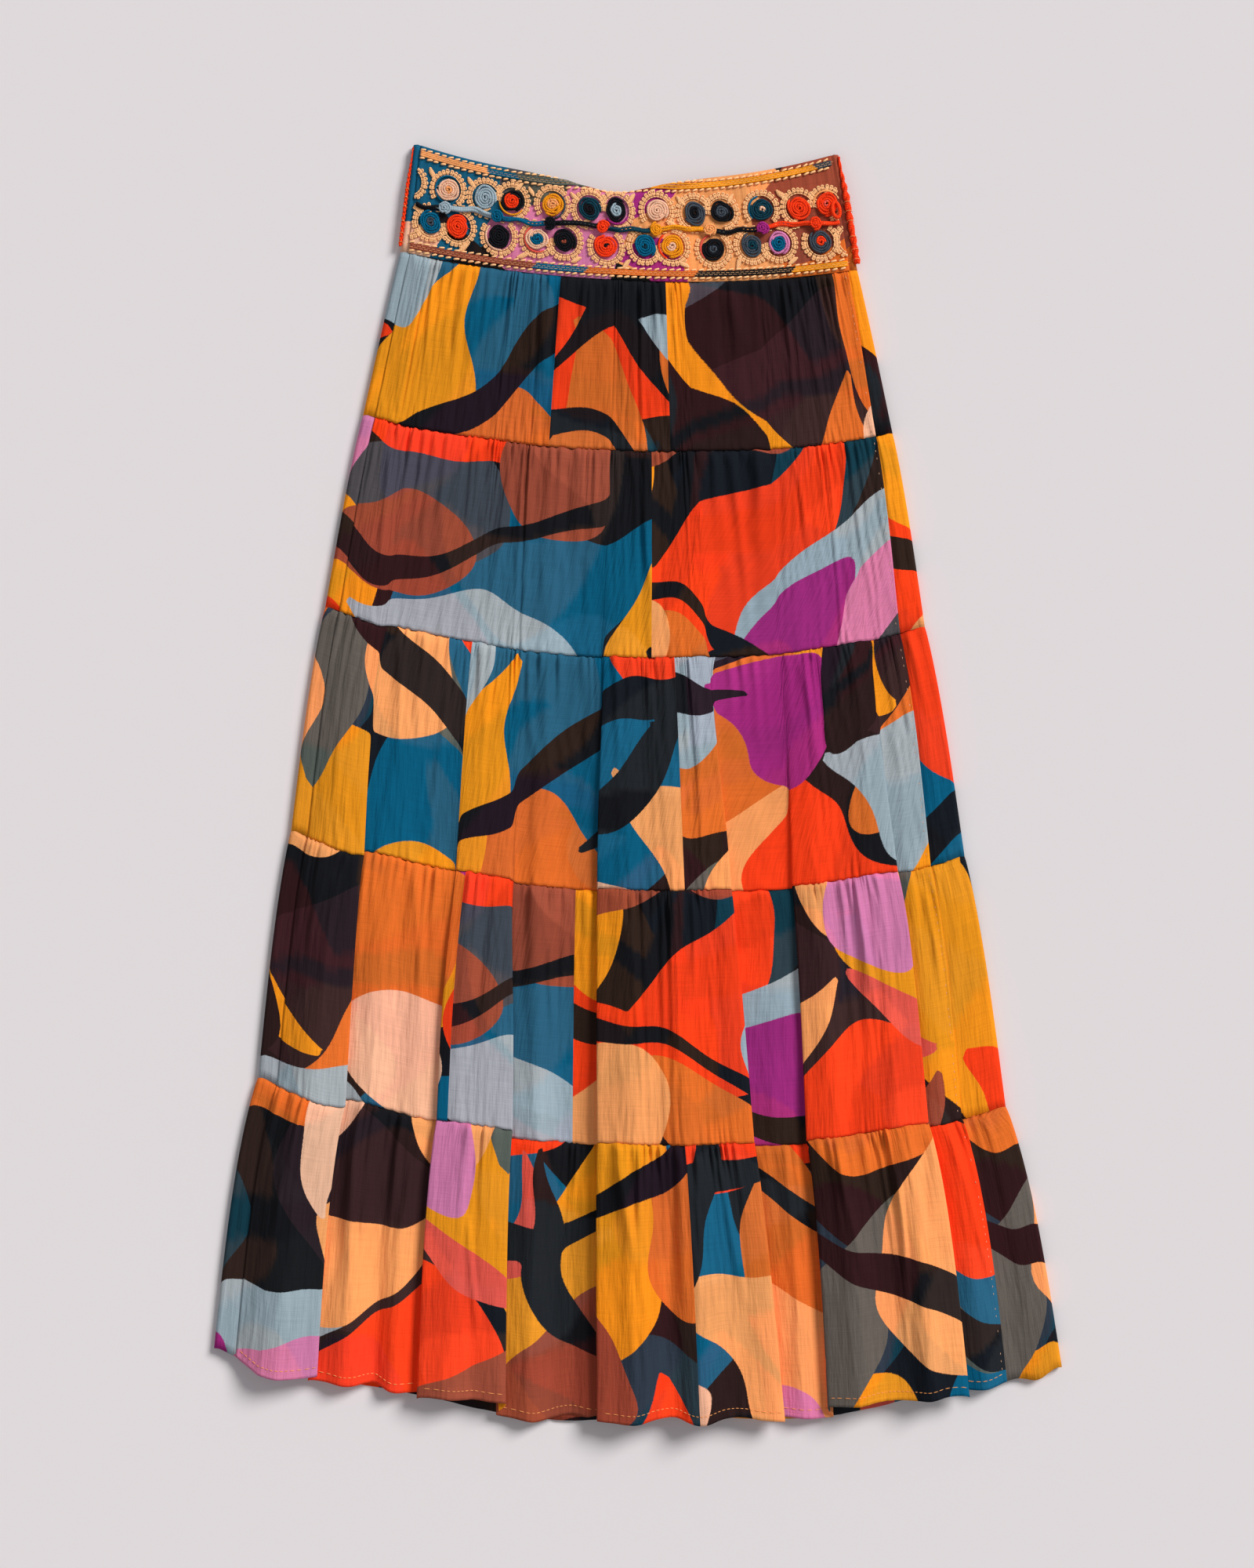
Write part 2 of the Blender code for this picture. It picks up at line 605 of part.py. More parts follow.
def make_rosettes():
    """Three rosettes and a hub at each cluster. The hub sits on the vine."""
    width = LEVELS[1].right_x - LEVELS[1].left_x
    made = 0
    for i in range(CLUSTERS):
        share, kind = cluster_share(i), ("even", "odd")[i % 2]
        for r in ROSETTES:
            if r.cluster == kind:
                made += 1
                at, up = share + r.along / width, VINE_HEIGHT + r.above
                colour = ROSETTE_COLOURS[made % len(ROSETTE_COLOURS)]
                make_rosette(f"rosette_{made:02d}", at, up, r.radius, ROSETTE_HEIGHT, SEAM_GAP,
                             ROSETTE_PROFILE, ROSETTE_SEGMENTS, colour)
        base = 2 * SEAM_GAP + VINE_THICK
        make_rosette(f"hub_{i + 1}", share, float(vine_up(share)), HUB_RADIUS, HUB_HEIGHT, base,
                     HUB_PROFILE, HUB_SEGMENTS, "teal")


def make_side_cord(cord):
    """A two-ply cord over the band's side seam: a peanut section that turns as it goes up."""
    edge, seam = LEVELS[0], LEVELS[1]
    around = 2 * math.pi * np.arange(SIDE_CORD_SEGMENTS) / SIDE_CORD_SEGMENTS
    tilt = math.radians(cord.angle)
    reach = SIDE_RADIUS + SEAM_GAP + cord.radius * (1.0 + PLY_RELIEF)
    sections = []
    for t in np.linspace(SIDE_CORD_FROM, SIDE_CORD_TO, SIDE_CORD_SECTIONS):
        if cord.side < 0:
            fold_x, y = mix(edge.left_x, seam.left_x, t), mix(edge.left_y, seam.left_y, t)
        else:
            fold_x, y = mix(edge.right_x, seam.right_x, t), mix(edge.right_y, seam.right_y, t)
        x = fold_x - cord.side * SIDE_RADIUS + cord.side * reach * math.cos(tilt)
        z = SIDE_RADIUS + reach * math.sin(tilt)
        radius = cord.radius * (1.0 + PLY_RELIEF * np.cos(2 * (around - math.pi * cord.twists * t)))
        ring = [x + radius * np.cos(around), np.full_like(around, y), z + radius * np.sin(around)]
        sections.append(np.stack(ring, axis=-1))
    return make_loft(cord.name, np.array(sections), "red")


for old in list(bpy.data.objects):
    bpy.data.objects.remove(old)
skirt = bpy.data.collections.new("tiered_skirt")
bpy.context.scene.collection.children.link(skirt)

make_band_front()
for piece in range(HEM_DEPTH):
    make_back(piece)
    if piece:
        make_tier_front(piece)
make_braid("braid_waist_edge", slice(-1 - BRAID_ROWS, -1))
make_braid("braid_waist_seam", slice(1, 4))
make_vine()
make_rosettes()
for side_cord in SIDE_CORDS:
    make_side_cord(side_cord)
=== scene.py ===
"""The looks of a long tiered skirt with an embroidered waistband, laid flat on its back.

Metres, in the frame of the solids: the skirt lies on z = 0 with its waist towards +Y. Every
piece is a surface worked out with numpy from two parameters, or a section carried along a
path. A place on a tier is given by its share across the front (0 at the left side fold, 1 at
the right one) and its depth (0 at the waist edge, 1 at the waist seam, 6 at the hem).
"""

import math
from collections import namedtuple

import bpy
import numpy as np
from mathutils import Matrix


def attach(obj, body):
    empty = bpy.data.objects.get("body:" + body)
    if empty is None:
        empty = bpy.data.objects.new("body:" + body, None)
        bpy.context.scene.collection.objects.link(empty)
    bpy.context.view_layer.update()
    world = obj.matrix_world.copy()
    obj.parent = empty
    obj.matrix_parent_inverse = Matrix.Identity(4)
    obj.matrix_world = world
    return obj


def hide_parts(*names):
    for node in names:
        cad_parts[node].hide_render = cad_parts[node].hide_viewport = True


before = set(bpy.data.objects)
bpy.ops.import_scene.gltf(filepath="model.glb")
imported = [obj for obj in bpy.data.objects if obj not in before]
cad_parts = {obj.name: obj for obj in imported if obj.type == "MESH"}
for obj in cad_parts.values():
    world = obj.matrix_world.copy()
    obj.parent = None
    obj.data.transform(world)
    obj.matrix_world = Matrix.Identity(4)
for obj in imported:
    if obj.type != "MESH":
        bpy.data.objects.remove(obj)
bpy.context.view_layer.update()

# The form of the solids
WALL = 0.0012
LAYER_GAP = 0.0055
SIDE_RADIUS = WALL + LAYER_GAP / 2
SHELL = 0.0006  # the thin cloth that shows
MIDDLE = WALL / 2  # the shell lies in the middle of the solids' wall
TOP_LAYER = WALL + LAYER_GAP + MIDDLE
FOLD_LINE = 0.46

Level = namedtuple("Level", "name left_x left_y middle_y right_x right_y")
LEVELS = [
    Level("waist_edge", -0.1780, 0.5050, 0.4760, 0.1590, 0.4970),
    Level("waist_seam", -0.1885, 0.4200, 0.3970, 0.1740, 0.4055),
    Level("seam_1", -0.2180, 0.2910, 0.2635, 0.2020, 0.2765),
    Level("seam_2", -0.2480, 0.1390, 0.1000, 0.2275, 0.1235),
    Level("seam_3", -0.2750, -0.0380, -0.0840, 0.2590, -0.0580),
    Level("seam_4", -0.3010, -0.2330, -0.2845, 0.2915, -0.2560),
    Level("hem", -0.3360, -0.4470, -0.5020, 0.3360, -0.4620),
]
HEM_DEPTH = len(LEVELS) - 1
LAST_TIER = HEM_DEPTH - 1
TIERS = range(1, HEM_DEPTH)
PUFF = [0.0, 0.0005, 0.0015, 0.0025, 0.0030, 0.0055]  # how far each side fold bulges

# Both edges of the four raised folds: the share at the waist and at the hem, the depth at which
# the fold starts, its height, 1 for a left edge and -1 for a right one, how far it laps and how
# far the cloth drops beside it.
Edge = namedtuple("Edge", "waist hem starts height side lap drop")
EDGES = [
    Edge(0.030, 0.034, 1.6, 0.0100, 1, 0.0, 0.000), Edge(0.075, 0.113, 1.6, 0.0100, -1, 1.0, 0.009),
    Edge(0.240, 0.243, 2.6, 0.0110, 1, 1.0, 0.004), Edge(0.310, 0.337, 2.6, 0.0110, -1, 1.0, -0.004),
    Edge(0.468, 0.457, 1.4, 0.0130, 1, 1.0, 0.003), Edge(0.610, 0.670, 1.4, 0.0130, -1, 0.9, -0.003),
    Edge(0.790, 0.729, 1.8, 0.0120, 1, 0.8, 0.002), Edge(0.925, 0.888, 1.8, 0.0120, -1, 1.0, -0.005),
]
EDGE_SHARE = 0.0155
SOFT_EDGE = 1.3  # an edge without a lap is this much wider
EDGE_STEEPNESS = 1.3
LAP = 2.2
LAP_FROM, LAP_OVER = 0.002, 0.0055  # the height at which a lap starts, and over which it grows
DROP_REACH, DROP_TURN = 0.085, 0.16
SIDE_FADE = 0.03
INSET_WAIST, INSET_HEM = (0.005, 0.006), (0.014, 0.040)  # left and right side seam off its fold
BAND_INSET = 0.0025
BACK_LONGER = 0.005
BACK_MOST, TROUGH_MOST = 0.0026, 0.0034  # the back's folds and the front's troughs never meet

# The waistband and what is sewn on it
BAND_RISE, BAND_ARCH, BAND_MIDDLE = 0.0105, 0.27, 0.475
BAND_SPAN = LEVELS[1].right_x - LEVELS[1].left_x  # turns metres along the band into shares
ROLL_LEAST, ROLL_MOST = 0.0015, 0.0145
ROLL_SHARE, ROLL_RADIUS = 0.15, 0.0032
ROLL_TURN = math.radians(176)
BACK_BELOW_ROLL = 0.0012
ON_FACE = 0.0003  # what is sewn on starts this far off the band
BRAID_EDGE, BRAID_WIDTH = 0.0028, 0.0062
CLUSTERS = 8
FIRST_CLUSTER, LAST_CLUSTER = 0.078, 0.932
CLUSTER_PITCH = (LAST_CLUSTER - FIRST_CLUSTER) / (CLUSTERS - 1)
VINE_HEIGHT, VINE_SWAY = 0.0405, 0.0016
Rosette = namedtuple("Rosette", "cluster along above radius")
ROSETTES = [
    Rosette(0, 0.0015, 0.0150, 0.0093), Rosette(0, -0.0100, -0.0132, 0.0091),
    Rosette(0, 0.0122, -0.0128, 0.0094), Rosette(1, -0.0112, 0.0136, 0.0097),
    Rosette(1, 0.0116, 0.0140, 0.0093), Rosette(1, 0.0024, -0.0148, 0.0094),
]
HUB_RADIUS = 0.0060
SideCord = namedtuple("SideCord", "name side radius angle turns")
SIDE_CORDS = [
    SideCord("side_cord_left", -1, 0.0015, 25, 11),
    SideCord("side_cord_right", 1, 0.0026, 38, 5.5),
]

# The picture: the photograph's pixels on the plane that the skirt lies on
PIXEL = 0.00062
PHOTO_WIDTH, PHOTO_HEIGHT = 1600, 2000
ORIGIN_PIXEL = (814, 999)
LENS, SENSOR = 85.0, 36.0

COLOURS = {
    "black": "131419", "plum": "291D24", "navy": "0F3B4A", "teal": "005F82", "slate": "434A54",
    "olive": "5A625C", "mist": "A0B2BC", "marigold": "F49A1A", "poppy": "FC4016", "rust": "E0702A",
    "brown": "9A4A36", "peach": "FBA866", "blush": "F4BF9F", "magenta": "A82A80", "pink": "D880B0",
    "coral": "EC5A4C", "apricot": "FFC48C", "ground": "131419",
}

# The print: what is inked later covers what is inked earlier, on a black ground. Motifs are
# placed in millimetres in a repeat of that many millimetres. An oval, a drop with one point and
# a leaf with two have half a length and half a width, and a bend that curves the whole; a skew
# makes an oval broader at one end. A wave runs across the repeat: its long is how far it sways
# and its turn is where it starts.
REPEAT = 640
PRINT_SCALE = 1.22
Motif = namedtuple("Motif", "kind u v long wide turn skew bend")
PRINT = {
    "plum": [("oval", 150, 476, 84, 56, 20, 0.2, 0.10), ("oval", 430, 130, 104, 66, -30, -0.2, 0.10)],
    "teal": [
        ("oval", 330, 330, 136, 98, -28, 0.25, 0.10), ("drop", 56, 190, 128, 74, 240, 0.0, -0.20),
        ("drop", 560, 560, 124, 72, 20, 0.0, 0.20),
    ],
    "navy": [("oval", 250, 100, 74, 48, 70, 0.2, 0.10), ("drop", 560, 300, 90, 50, 110, 0.0, 0.20)],
    "slate": [("drop", 400, 590, 110, 52, 200, 0.0, 0.25), ("leaf", 30, 560, 130, 34, 50, 0.0, 0.40)],
    "marigold": [
        ("drop", 205, 262, 142, 76, 64, 0.0, 0.22), ("drop", 590, 120, 132, 72, -60, 0.0, -0.20),
        ("oval", 330, 520, 86, 60, 30, 0.3, 0.10), ("oval", 66, 74, 74, 58, 100, 0.3, 0.10),
        ("drop", 70, 500, 110, 58, 312, 0.0, 0.22),
    ],
    "poppy": [
        ("drop", 440, 420, 138, 76, -22, 0.0, 0.20), ("drop", 60, 16, 120, 62, 150, 0.0, -0.18),
        ("drop", 470, 34, 104, 58, 190, 0.0, 0.20), ("drop", 110, 330, 92, 52, 340, 0.0, 0.20),
        ("drop", 226, 62, 100, 56, 60, 0.0, 0.22),
    ],
    "rust": [
        ("drop", 215, 560, 130, 66, 128, 0.0, 0.20), ("oval", 622, 420, 72, 58, 0, 0.2, 0.05),
        ("drop", 330, 222, 96, 52, 330, 0.0, 0.20), ("drop", 500, 346, 96, 54, 100, 0.0, 0.20),
        ("drop", 170, 420, 74, 40, 60, 0.0, 0.22),
    ],
    "mist": [
        ("drop", 500, 500, 124, 56, 158, 0.0, 0.22), ("drop", 330, 26, 104, 54, 30, 0.0, -0.20),
        ("drop", 150, 384, 88, 44, 152, 0.0, 0.22),
    ],
    "olive": [("drop", 30, 266, 82, 44, -42, 0.0, 0.25), ("leaf", 590, 262, 90, 28, 70, 0.0, -0.30)],
    "peach": [
        ("drop", 470, 250, 112, 58, 140, 0.0, 0.22), ("drop", 20, 310, 96, 46, 80, 0.0, -0.20),
        ("oval", 120, 606, 60, 44, 20, 0.2, 0.10), ("drop", 430, 110, 70, 38, 16, 0.0, 0.22),
    ],
    "brown": [
        ("drop", 150, 130, 90, 46, 200, 0.0, 0.18), ("drop", 560, 20, 72, 40, 60, 0.0, 0.18),
        ("drop", 400, 570, 80, 38, 196, 0.0, 0.22),
    ],
    "blush": [("drop", 380, 180, 66, 38, 250, 0.0, 0.22), ("oval", 250, 440, 54, 42, 20, 0.2, 0.10)],
    "magenta": [("drop", 300, 600, 76, 42, -62, 0.0, 0.18), ("drop", 10, 440, 70, 40, 150, 0.0, 0.18)],
    "pink": [("drop", 350, 610, 72, 36, -98, 0.0, 0.25), ("oval", 520, 176, 44, 34, 118, 0.2, -0.12)],
    "coral": [("leaf", 540, 110, 52, 15, -24, 0.0, 0.30), ("drop", 120, 250, 44, 20, 84, 0.0, 0.20)],
    "ground": [
        ("wave", 0, 300, 70, 12, 200, 0.0, 0.0), ("wave", 0, 616, 52, 9, 40, 0.0, 0.0),
        ("leaf", 400, 330, 110, 17, 60, 0.0, 0.40), ("leaf", 150, 210, 90, 12, -68, 0.0, 0.34),
        ("leaf", 540, 440, 100, 13, 16, 0.0, -0.34), ("drop", 66, 478, 66, 34, 130, 0.0, 0.25),
    ],
}
# The waistband is cut from a lighter part of the cloth, with its own shapes.
BAND_PRINT = {
    "teal": [("oval", 20, 44, 54, 50, 12, 0.2, 0.10), ("drop", 232, 8, 36, 18, 8, 0.0, 0.25)],
    "slate": [("oval", 90, 66, 34, 22, 30, 0.2, 0.10)],
    "rust": [("oval", 300, 6, 70, 30, 4, 0.2, 0.10)],
    "olive": [("drop", 92, 62, 36, 18, 200, 0.0, 0.25)],
    "peach": [("oval", 206, 44, 74, 54, -10, 0.2, 0.10), ("oval", 470, 40, 90, 60, 0, 0.2, 0.10)],
    "brown": [("oval", 298, 56, 52, 40, 20, 0.2, 0.10), ("oval", 380, 30, 60, 50, 0, 0.2, 0.10)],
    "blush": [("drop", 10, 4, 36, 20, 20, 0.0, 0.25), ("oval", 560, 40, 60, 60, 0, 0.2, 0.10)],
    "magenta": [("oval", 158, 62, 34, 26, 10, 0.2, 0.10), ("drop", 178, 6, 30, 16, 150, 0.0, 0.25)],
    "pink": [("oval", 112, 26, 50, 36, 8, 0.2, 0.10), ("drop", 136, 60, 30, 18, -20, 0.0, 0.25)],
    "ground": [("leaf", 52, 10, 34, 5, -24, 0.0, 0.30)],
}
INKS_EACH = 3  # ink depths kept in one vector
NO_INK = -0.1  # the depth of an ink that the cloth hasn't got

# Where a tier's cloth is pieced, as shares across its front, and how far the print jumps there,
# from tier to tier and inside a lap
PIECINGS = [(), (0.36, 0.62), (0.57,), (0.24, 0.62), (0.26, 0.43, 0.76), (0.335, 0.60)]
PRINT_JUMP = (0.171, 0.113)
TIER_JUMP = (0.233, 0.317)
LAP_JUMP = 0.030


def smooth(x):
    """Rises from 0 to 1 with flat ends."""
    x = np.clip(x, 0.0, 1.0)
    return x * x * (3.0 - 2.0 * x)


def mix(a, b, t):
    return a + (b - a) * t


def bell(x):
    return np.exp(-(x**2))


def turned(x):
    """The sine of x whole turns."""
    return np.sin(2 * math.pi * x)


def wander(x, seed, low, high):
    """A smooth random line between -1 and 1: sines of seeded frequencies and starts."""
    random = np.random.default_rng(seed)
    total = np.zeros_like(x, dtype=float)
    count = 6
    for frequency, start in zip(random.uniform(low, high, count), random.uniform(0, 1, count)):
        total = total + turned(frequency * x + start)
    return total / count * 1.6


def uneven(x, seed, low, high, middle=0.5, sway=0.6, least=0.0, most=1.0):
    """A line that wanders about a middle value, cut off at its least and its most."""
    return np.clip(middle + sway * wander(x, seed, low, high), least, most)


def linear_colour(name):
    """A named colour's six hex digits as linear red, green and blue."""
    level = np.array([int(COLOURS[name][i : i + 2], 16) for i in (0, 2, 4)]) / 255
    return np.where(level <= 0.04045, level / 12.92, ((level + 0.055) / 1.055) ** 2.4)


# The form of the skirt

def level_y(level, share):
    """Height of a level: the parabola through its left, middle and right."""
    m = FOLD_LINE
    left = (share - m) * (share - 1.0) / m
    middle = share * (share - 1.0) / (m * (m - 1.0))
    right = share * (share - m) / (1.0 - m)
    return left * level.left_y + middle * level.middle_y + right * level.right_y


def sides(tier, t):
    """The x of both side folds, t of the way down a tier."""
    above, below = LEVELS[tier], LEVELS[tier + 1]
    puff = PUFF[tier] * np.sin(math.pi * t**0.7)
    return mix(above.left_x, below.left_x, t) - puff, mix(above.right_x, below.right_x, t) + puff


def front_width(tier, t):
    left, right = sides(tier, t)
    return right - left - 2 * SIDE_RADIUS


def flat_x(tier, share, t):
    """The x of a share of the way between the centres of the side folds."""
    return sides(tier, t)[0] + SIDE_RADIUS + front_width(tier, t) * share


def flat_y(tier, share, t):
    """The y of a place t of the way from a tier's upper level to its lower one."""
    return mix(level_y(LEVELS[tier], share), level_y(LEVELS[tier + 1], share), t)


def seam_shares(tier, t):
    """The shares across at which the left and right side seams lie."""
    down = (tier + t - 1.0) / (HEM_DEPTH - 1.0)
    insets = [mix(a, b, down) if tier else BAND_INSET for a, b in zip(INSET_WAIST, INSET_HEM)]
    width = front_width(tier, t)
    return insets[0] / width, 1.0 - insets[1] / width


def drift(share, depth):
    """How far the cloth at a share of the hem has moved sideways at this depth: as the edges of
    the folds have, and evenly between them."""
    at = [0.0] + [e.hem for e in EDGES] + [1.0]
    moved = [0.0] + [e.waist - e.hem for e in EDGES] + [0.0]
    return np.interp(share, at, moved) * (1.0 - depth / HEM_DEPTH)


def side_fade(share):
    return smooth(share / SIDE_FADE) * smooth((1.0 - share) / SIDE_FADE)


def band_arch(share):
    return BAND_RISE * bell((share - BAND_MIDDLE) / BAND_ARCH) * side_fade(share)


def grown(starts, depth, ends=HEM_DEPTH):
    """Grows smoothly from 0 at the depth where it starts to 1 where it ends."""
    return smooth((depth - starts) / (ends - starts))


def edge_half(edge):
    """Half the width of a fold's edge, which is wider where it doesn't lap."""
    return EDGE_SHARE * mix(SOFT_EDGE, 1.0, edge.lap)


def step(x):
    """Rises from 0 to 1 as a hyperbolic tangent does."""
    return 0.5 * (1.0 + np.tanh(x))


def folds(share, depth, width):
    """Sideways turn, drop and height of the raised folds: smooth steps, and for a lap a
    sideways S that carries the cloth back under itself."""
    turn, drop, height = np.zeros_like(share), np.zeros_like(share), np.zeros_like(share)
    for edge in EDGES:
        rise = grown(edge.starts, depth)
        tall = edge.height * rise
        turns_back = LAP * smooth((tall - LAP_FROM) / LAP_OVER)
        half = edge_half(edge)
        away = (share - edge.hem) / half
        height = height + edge.side * tall * step(EDGE_STEEPNESS * away)
        turn = turn - edge.lap * turns_back * half * width * away * bell(away)
        reach = (share - edge.hem) / DROP_REACH
        drop = drop + rise * edge.drop * np.tanh(reach / DROP_TURN) * np.exp(-np.abs(reach))
    fade = side_fade(share)
    return turn * fade, drop * fade, height * fade


PRESSED_WIDTH, PRESSED_AWAY = 1.35, 0.86  # in half edges, and the part of the fine folds that goes


def pressed(share, depth):
    """How much of the fine folds is left: little on the cloth that is folded under at a lap."""
    left = np.ones_like(share)
    for edge in EDGES:
        away = (share - edge.hem) / (PRESSED_WIDTH * edge_half(edge))
        lapped = edge.lap * smooth(4.0 * grown(edge.starts, depth))
        left = left * (1.0 - PRESSED_AWAY * lapped * np.exp(-(away**4)))
    return left


def tier_height(tier):
    """Length of a tier down the fold line."""
    return LEVELS[tier].middle_y - LEVELS[tier + 1].middle_y


def by_tier(tier, first, last):
    """A value that changes evenly from the hip tier to the hem tier."""
    return mix(first, last, (tier - 1) / (HEM_DEPTH - 2))


# Soft folds down the front: a share, the half width of the ridge (or trough, where the height
# is negative), its height at the hem, and the depth at which it starts.
SOFT_GAIN, SOFT_ENDS = 2.1, 6.3
SOFT_FOLDS = [
    (0.070, 0.022, 0.0022, 3.0), (0.150, 0.020, 0.0034, 2.2), (0.185, 0.012, -0.0016, 4.9),
    (0.207, 0.014, 0.0028, 3.9), (0.275, 0.016, 0.0022, 4.8), (0.305, 0.011, -0.0018, 5.0),
    (0.372, 0.018, 0.0030, 1.2), (0.412, 0.022, -0.0024, 1.0), (0.440, 0.013, 0.0024, 4.6),
    (0.500, 0.020, 0.0026, 1.6), (0.545, 0.014, -0.0022, 4.8), (0.580, 0.020, 0.0030, 2.6),
    (0.632, 0.016, -0.0014, 4.0), (0.700, 0.014, 0.0026, 3.0), (0.765, 0.018, 0.0028, 1.8),
    (0.812, 0.018, -0.0024, 4.7), (0.850, 0.014, 0.0026, 2.8), (0.915, 0.016, 0.0024, 2.0),
    (0.955, 0.014, -0.0016, 4.0),
]

# Creases of each tier: the share and way down of both ends, and the half width and height in
# millimetres.
CREASE_GAIN = 1.9
CREASES = {
    1: [
        (0.10, 0.05, 0.12, 0.75, 3.0, 0.9), (0.21, 0.02, 0.20, 0.55, 2.6, 0.8),
        (0.33, 0.04, 0.36, 0.90, 3.4, 1.0), (0.46, 0.03, 0.47, 0.95, 3.6, -1.2),
        (0.58, 0.05, 0.60, 0.70, 2.6, 0.9), (0.70, 0.02, 0.73, 0.60, 3.0, 0.8),
        (0.83, 0.06, 0.86, 0.85, 3.0, 1.0),
    ],
    2: [
        (0.07, 0.05, 0.09, 0.90, 3.4, 1.0), (0.18, 0.02, 0.17, 0.50, 2.6, 0.8),
        (0.29, 0.10, 0.27, 0.95, 3.2, 1.0), (0.39, 0.04, 0.40, 0.65, 2.8, -0.9),
        (0.53, 0.03, 0.56, 0.80, 3.0, 1.0), (0.66, 0.04, 0.68, 0.98, 3.4, 0.9),
        (0.78, 0.02, 0.80, 0.60, 2.6, 1.0), (0.89, 0.06, 0.91, 0.90, 3.0, 0.8),
    ],
    3: [
        (0.14, 0.03, 0.16, 0.70, 3.0, 1.0), (0.22, 0.20, 0.20, 0.98, 3.4, 0.9),
        (0.35, 0.02, 0.36, 0.55, 2.6, 1.1), (0.43, 0.05, 0.42, 0.90, 3.6, -1.0),
        (0.55, 0.03, 0.57, 0.75, 2.8, 1.0), (0.64, 0.10, 0.63, 0.98, 3.2, 0.9),
        (0.77, 0.04, 0.79, 0.85, 3.0, 1.1), (0.88, 0.02, 0.90, 0.60, 2.6, 0.8),
    ],
    4: [
        (0.08, 0.04, 0.07, 0.80, 3.4, 1.1), (0.19, 0.02, 0.21, 0.60, 3.0, 1.0),
        (0.30, 0.06, 0.28, 0.95, 3.6, -1.0), (0.38, 0.03, 0.40, 0.70, 3.0, 1.1),
        (0.50, 0.05, 0.52, 0.90, 3.4, 1.0), (0.61, 0.02, 0.60, 0.50, 2.8, 1.2),
        (0.70, 0.10, 0.72, 0.98, 3.2, 0.9), (0.82, 0.03, 0.84, 0.75, 3.0, 1.1),
        (0.93, 0.04, 0.94, 0.65, 2.8, 0.9),
    ],
    5: [
        (0.06, 0.02, 0.05, 0.70, 3.4, 1.2), (0.14, 0.04, 0.16, 0.95, 3.6, 1.2),
        (0.22, 0.03, 0.20, 0.60, 3.2, 1.2), (0.29, 0.30, 0.31, 0.85, 2.6, 1.2),
        (0.38, 0.02, 0.37, 0.80, 3.8, 1.2), (0.48, 0.03, 0.51, 0.55, 3.2, 1.2),
        (0.56, 0.10, 0.53, 0.98, 3.6, -1.2), (0.62, 0.02, 0.64, 0.70, 3.2, 1.2),
        (0.76, 0.02, 0.78, 0.60, 3.0, 1.4), (0.84, 0.05, 0.82, 0.95, 3.6, 1.2),
        (0.92, 0.03, 0.94, 0.80, 3.4, 1.2), (0.87, 0.02, 0.86, 0.45, 2.2, -1.2),
    ],
}
GATHERS = [0, 62, 70, 76, 84, 92]  # puckers across the front of each tier
SEAM_SCALLOP, SCALLOP_REACH = 0.00045, 0.004
SEAM_UNDER, UNDER_REACH = 0.0009, 0.0015
PUCKER_HEIGHTS, PUCKER_REACHES = (0.0036, 0.0058), (0.006, 0.062)
GATHER_HEIGHTS, GATHER_REACHES = (0.0032, 0.0038), (0.035, 0.150)
ABOVE_HEIGHT, ABOVE_REACHES = 0.0017, (0.003, 0.017)
PUCKERS_A_FOLD = 2.6
CRINKLES, SHARP_CRINKLES = 11, 6
SHARP_ACROSS, FINE_ACROSS, CRINKLE_SLANT = (20, 58), (50, 118), 2.2
CRINKLE_HEIGHT = 0.0021
PUFF_HEIGHTS, PUFF_DOWN = (0.0010, 0.0024), 0.03  # how the cloth puffs up under a seam
DIP_ABOVE, DIP_BELOW = (0.0016, 0.0022), (0.0002, 0.002)  # depth and reach of the dips at seams


def gather_seed(tier, back=False):
    return 11 * tier + (300 if back else 0)


def pucker_phase(tier, share, seed):
    """Counts the puckers across, which stand closer here and wider there."""
    return GATHERS[tier] * share + 1.6 * wander(share, seed, 3, 19)


def pucker_wave(tier, share):
    """How far the puckers of a tier push its seam, from -1 to 1, here much and there little."""
    seed = gather_seed(tier)
    wave = np.cos(2 * math.pi * pucker_phase(tier, share, seed))
    return wave * (0.5 + 0.5 * wander(share, seed + 3, 6, 30))


def ridges(phase, sharpness=1.0):
    """Raised cosines between 0 and 1, one for each turn of the phase."""
    return (0.5 + 0.5 * np.cos(2 * math.pi * phase)) ** sharpness


def sets_in(distance, reach):
    """Rises from 0 towards 1 as an exponential over the reach."""
    return 1.0 - np.exp(-distance / reach)


def pucker(tier, share, down, back=False):
    """Puckers under a seam: raised cosines at uneven places, each of its own height and
    length, that lean a little and fan out, with short fine ones between them."""
    seed = gather_seed(tier, back)
    leaning = share + 0.05 * down * wander(share, seed + 4, 5, 14)
    ridge = ridges(pucker_phase(tier, leaning, seed), 1.8)
    strength = uneven(share, seed + 1, 9, 31, middle=0.58, sway=0.55, least=0.05, most=1.2)
    reach = mix(*PUCKER_REACHES, uneven(share, seed + 2, 11, 37) ** 2)
    fine = ridges(2 * pucker_phase(tier, share, seed + 5)) * np.exp(-down / 0.009)
    rises = by_tier(tier, *PUCKER_HEIGHTS) * (ridge * strength * np.exp(-down / reach) + 0.3 * fine)
    return rises * sets_in(down, 0.0013)


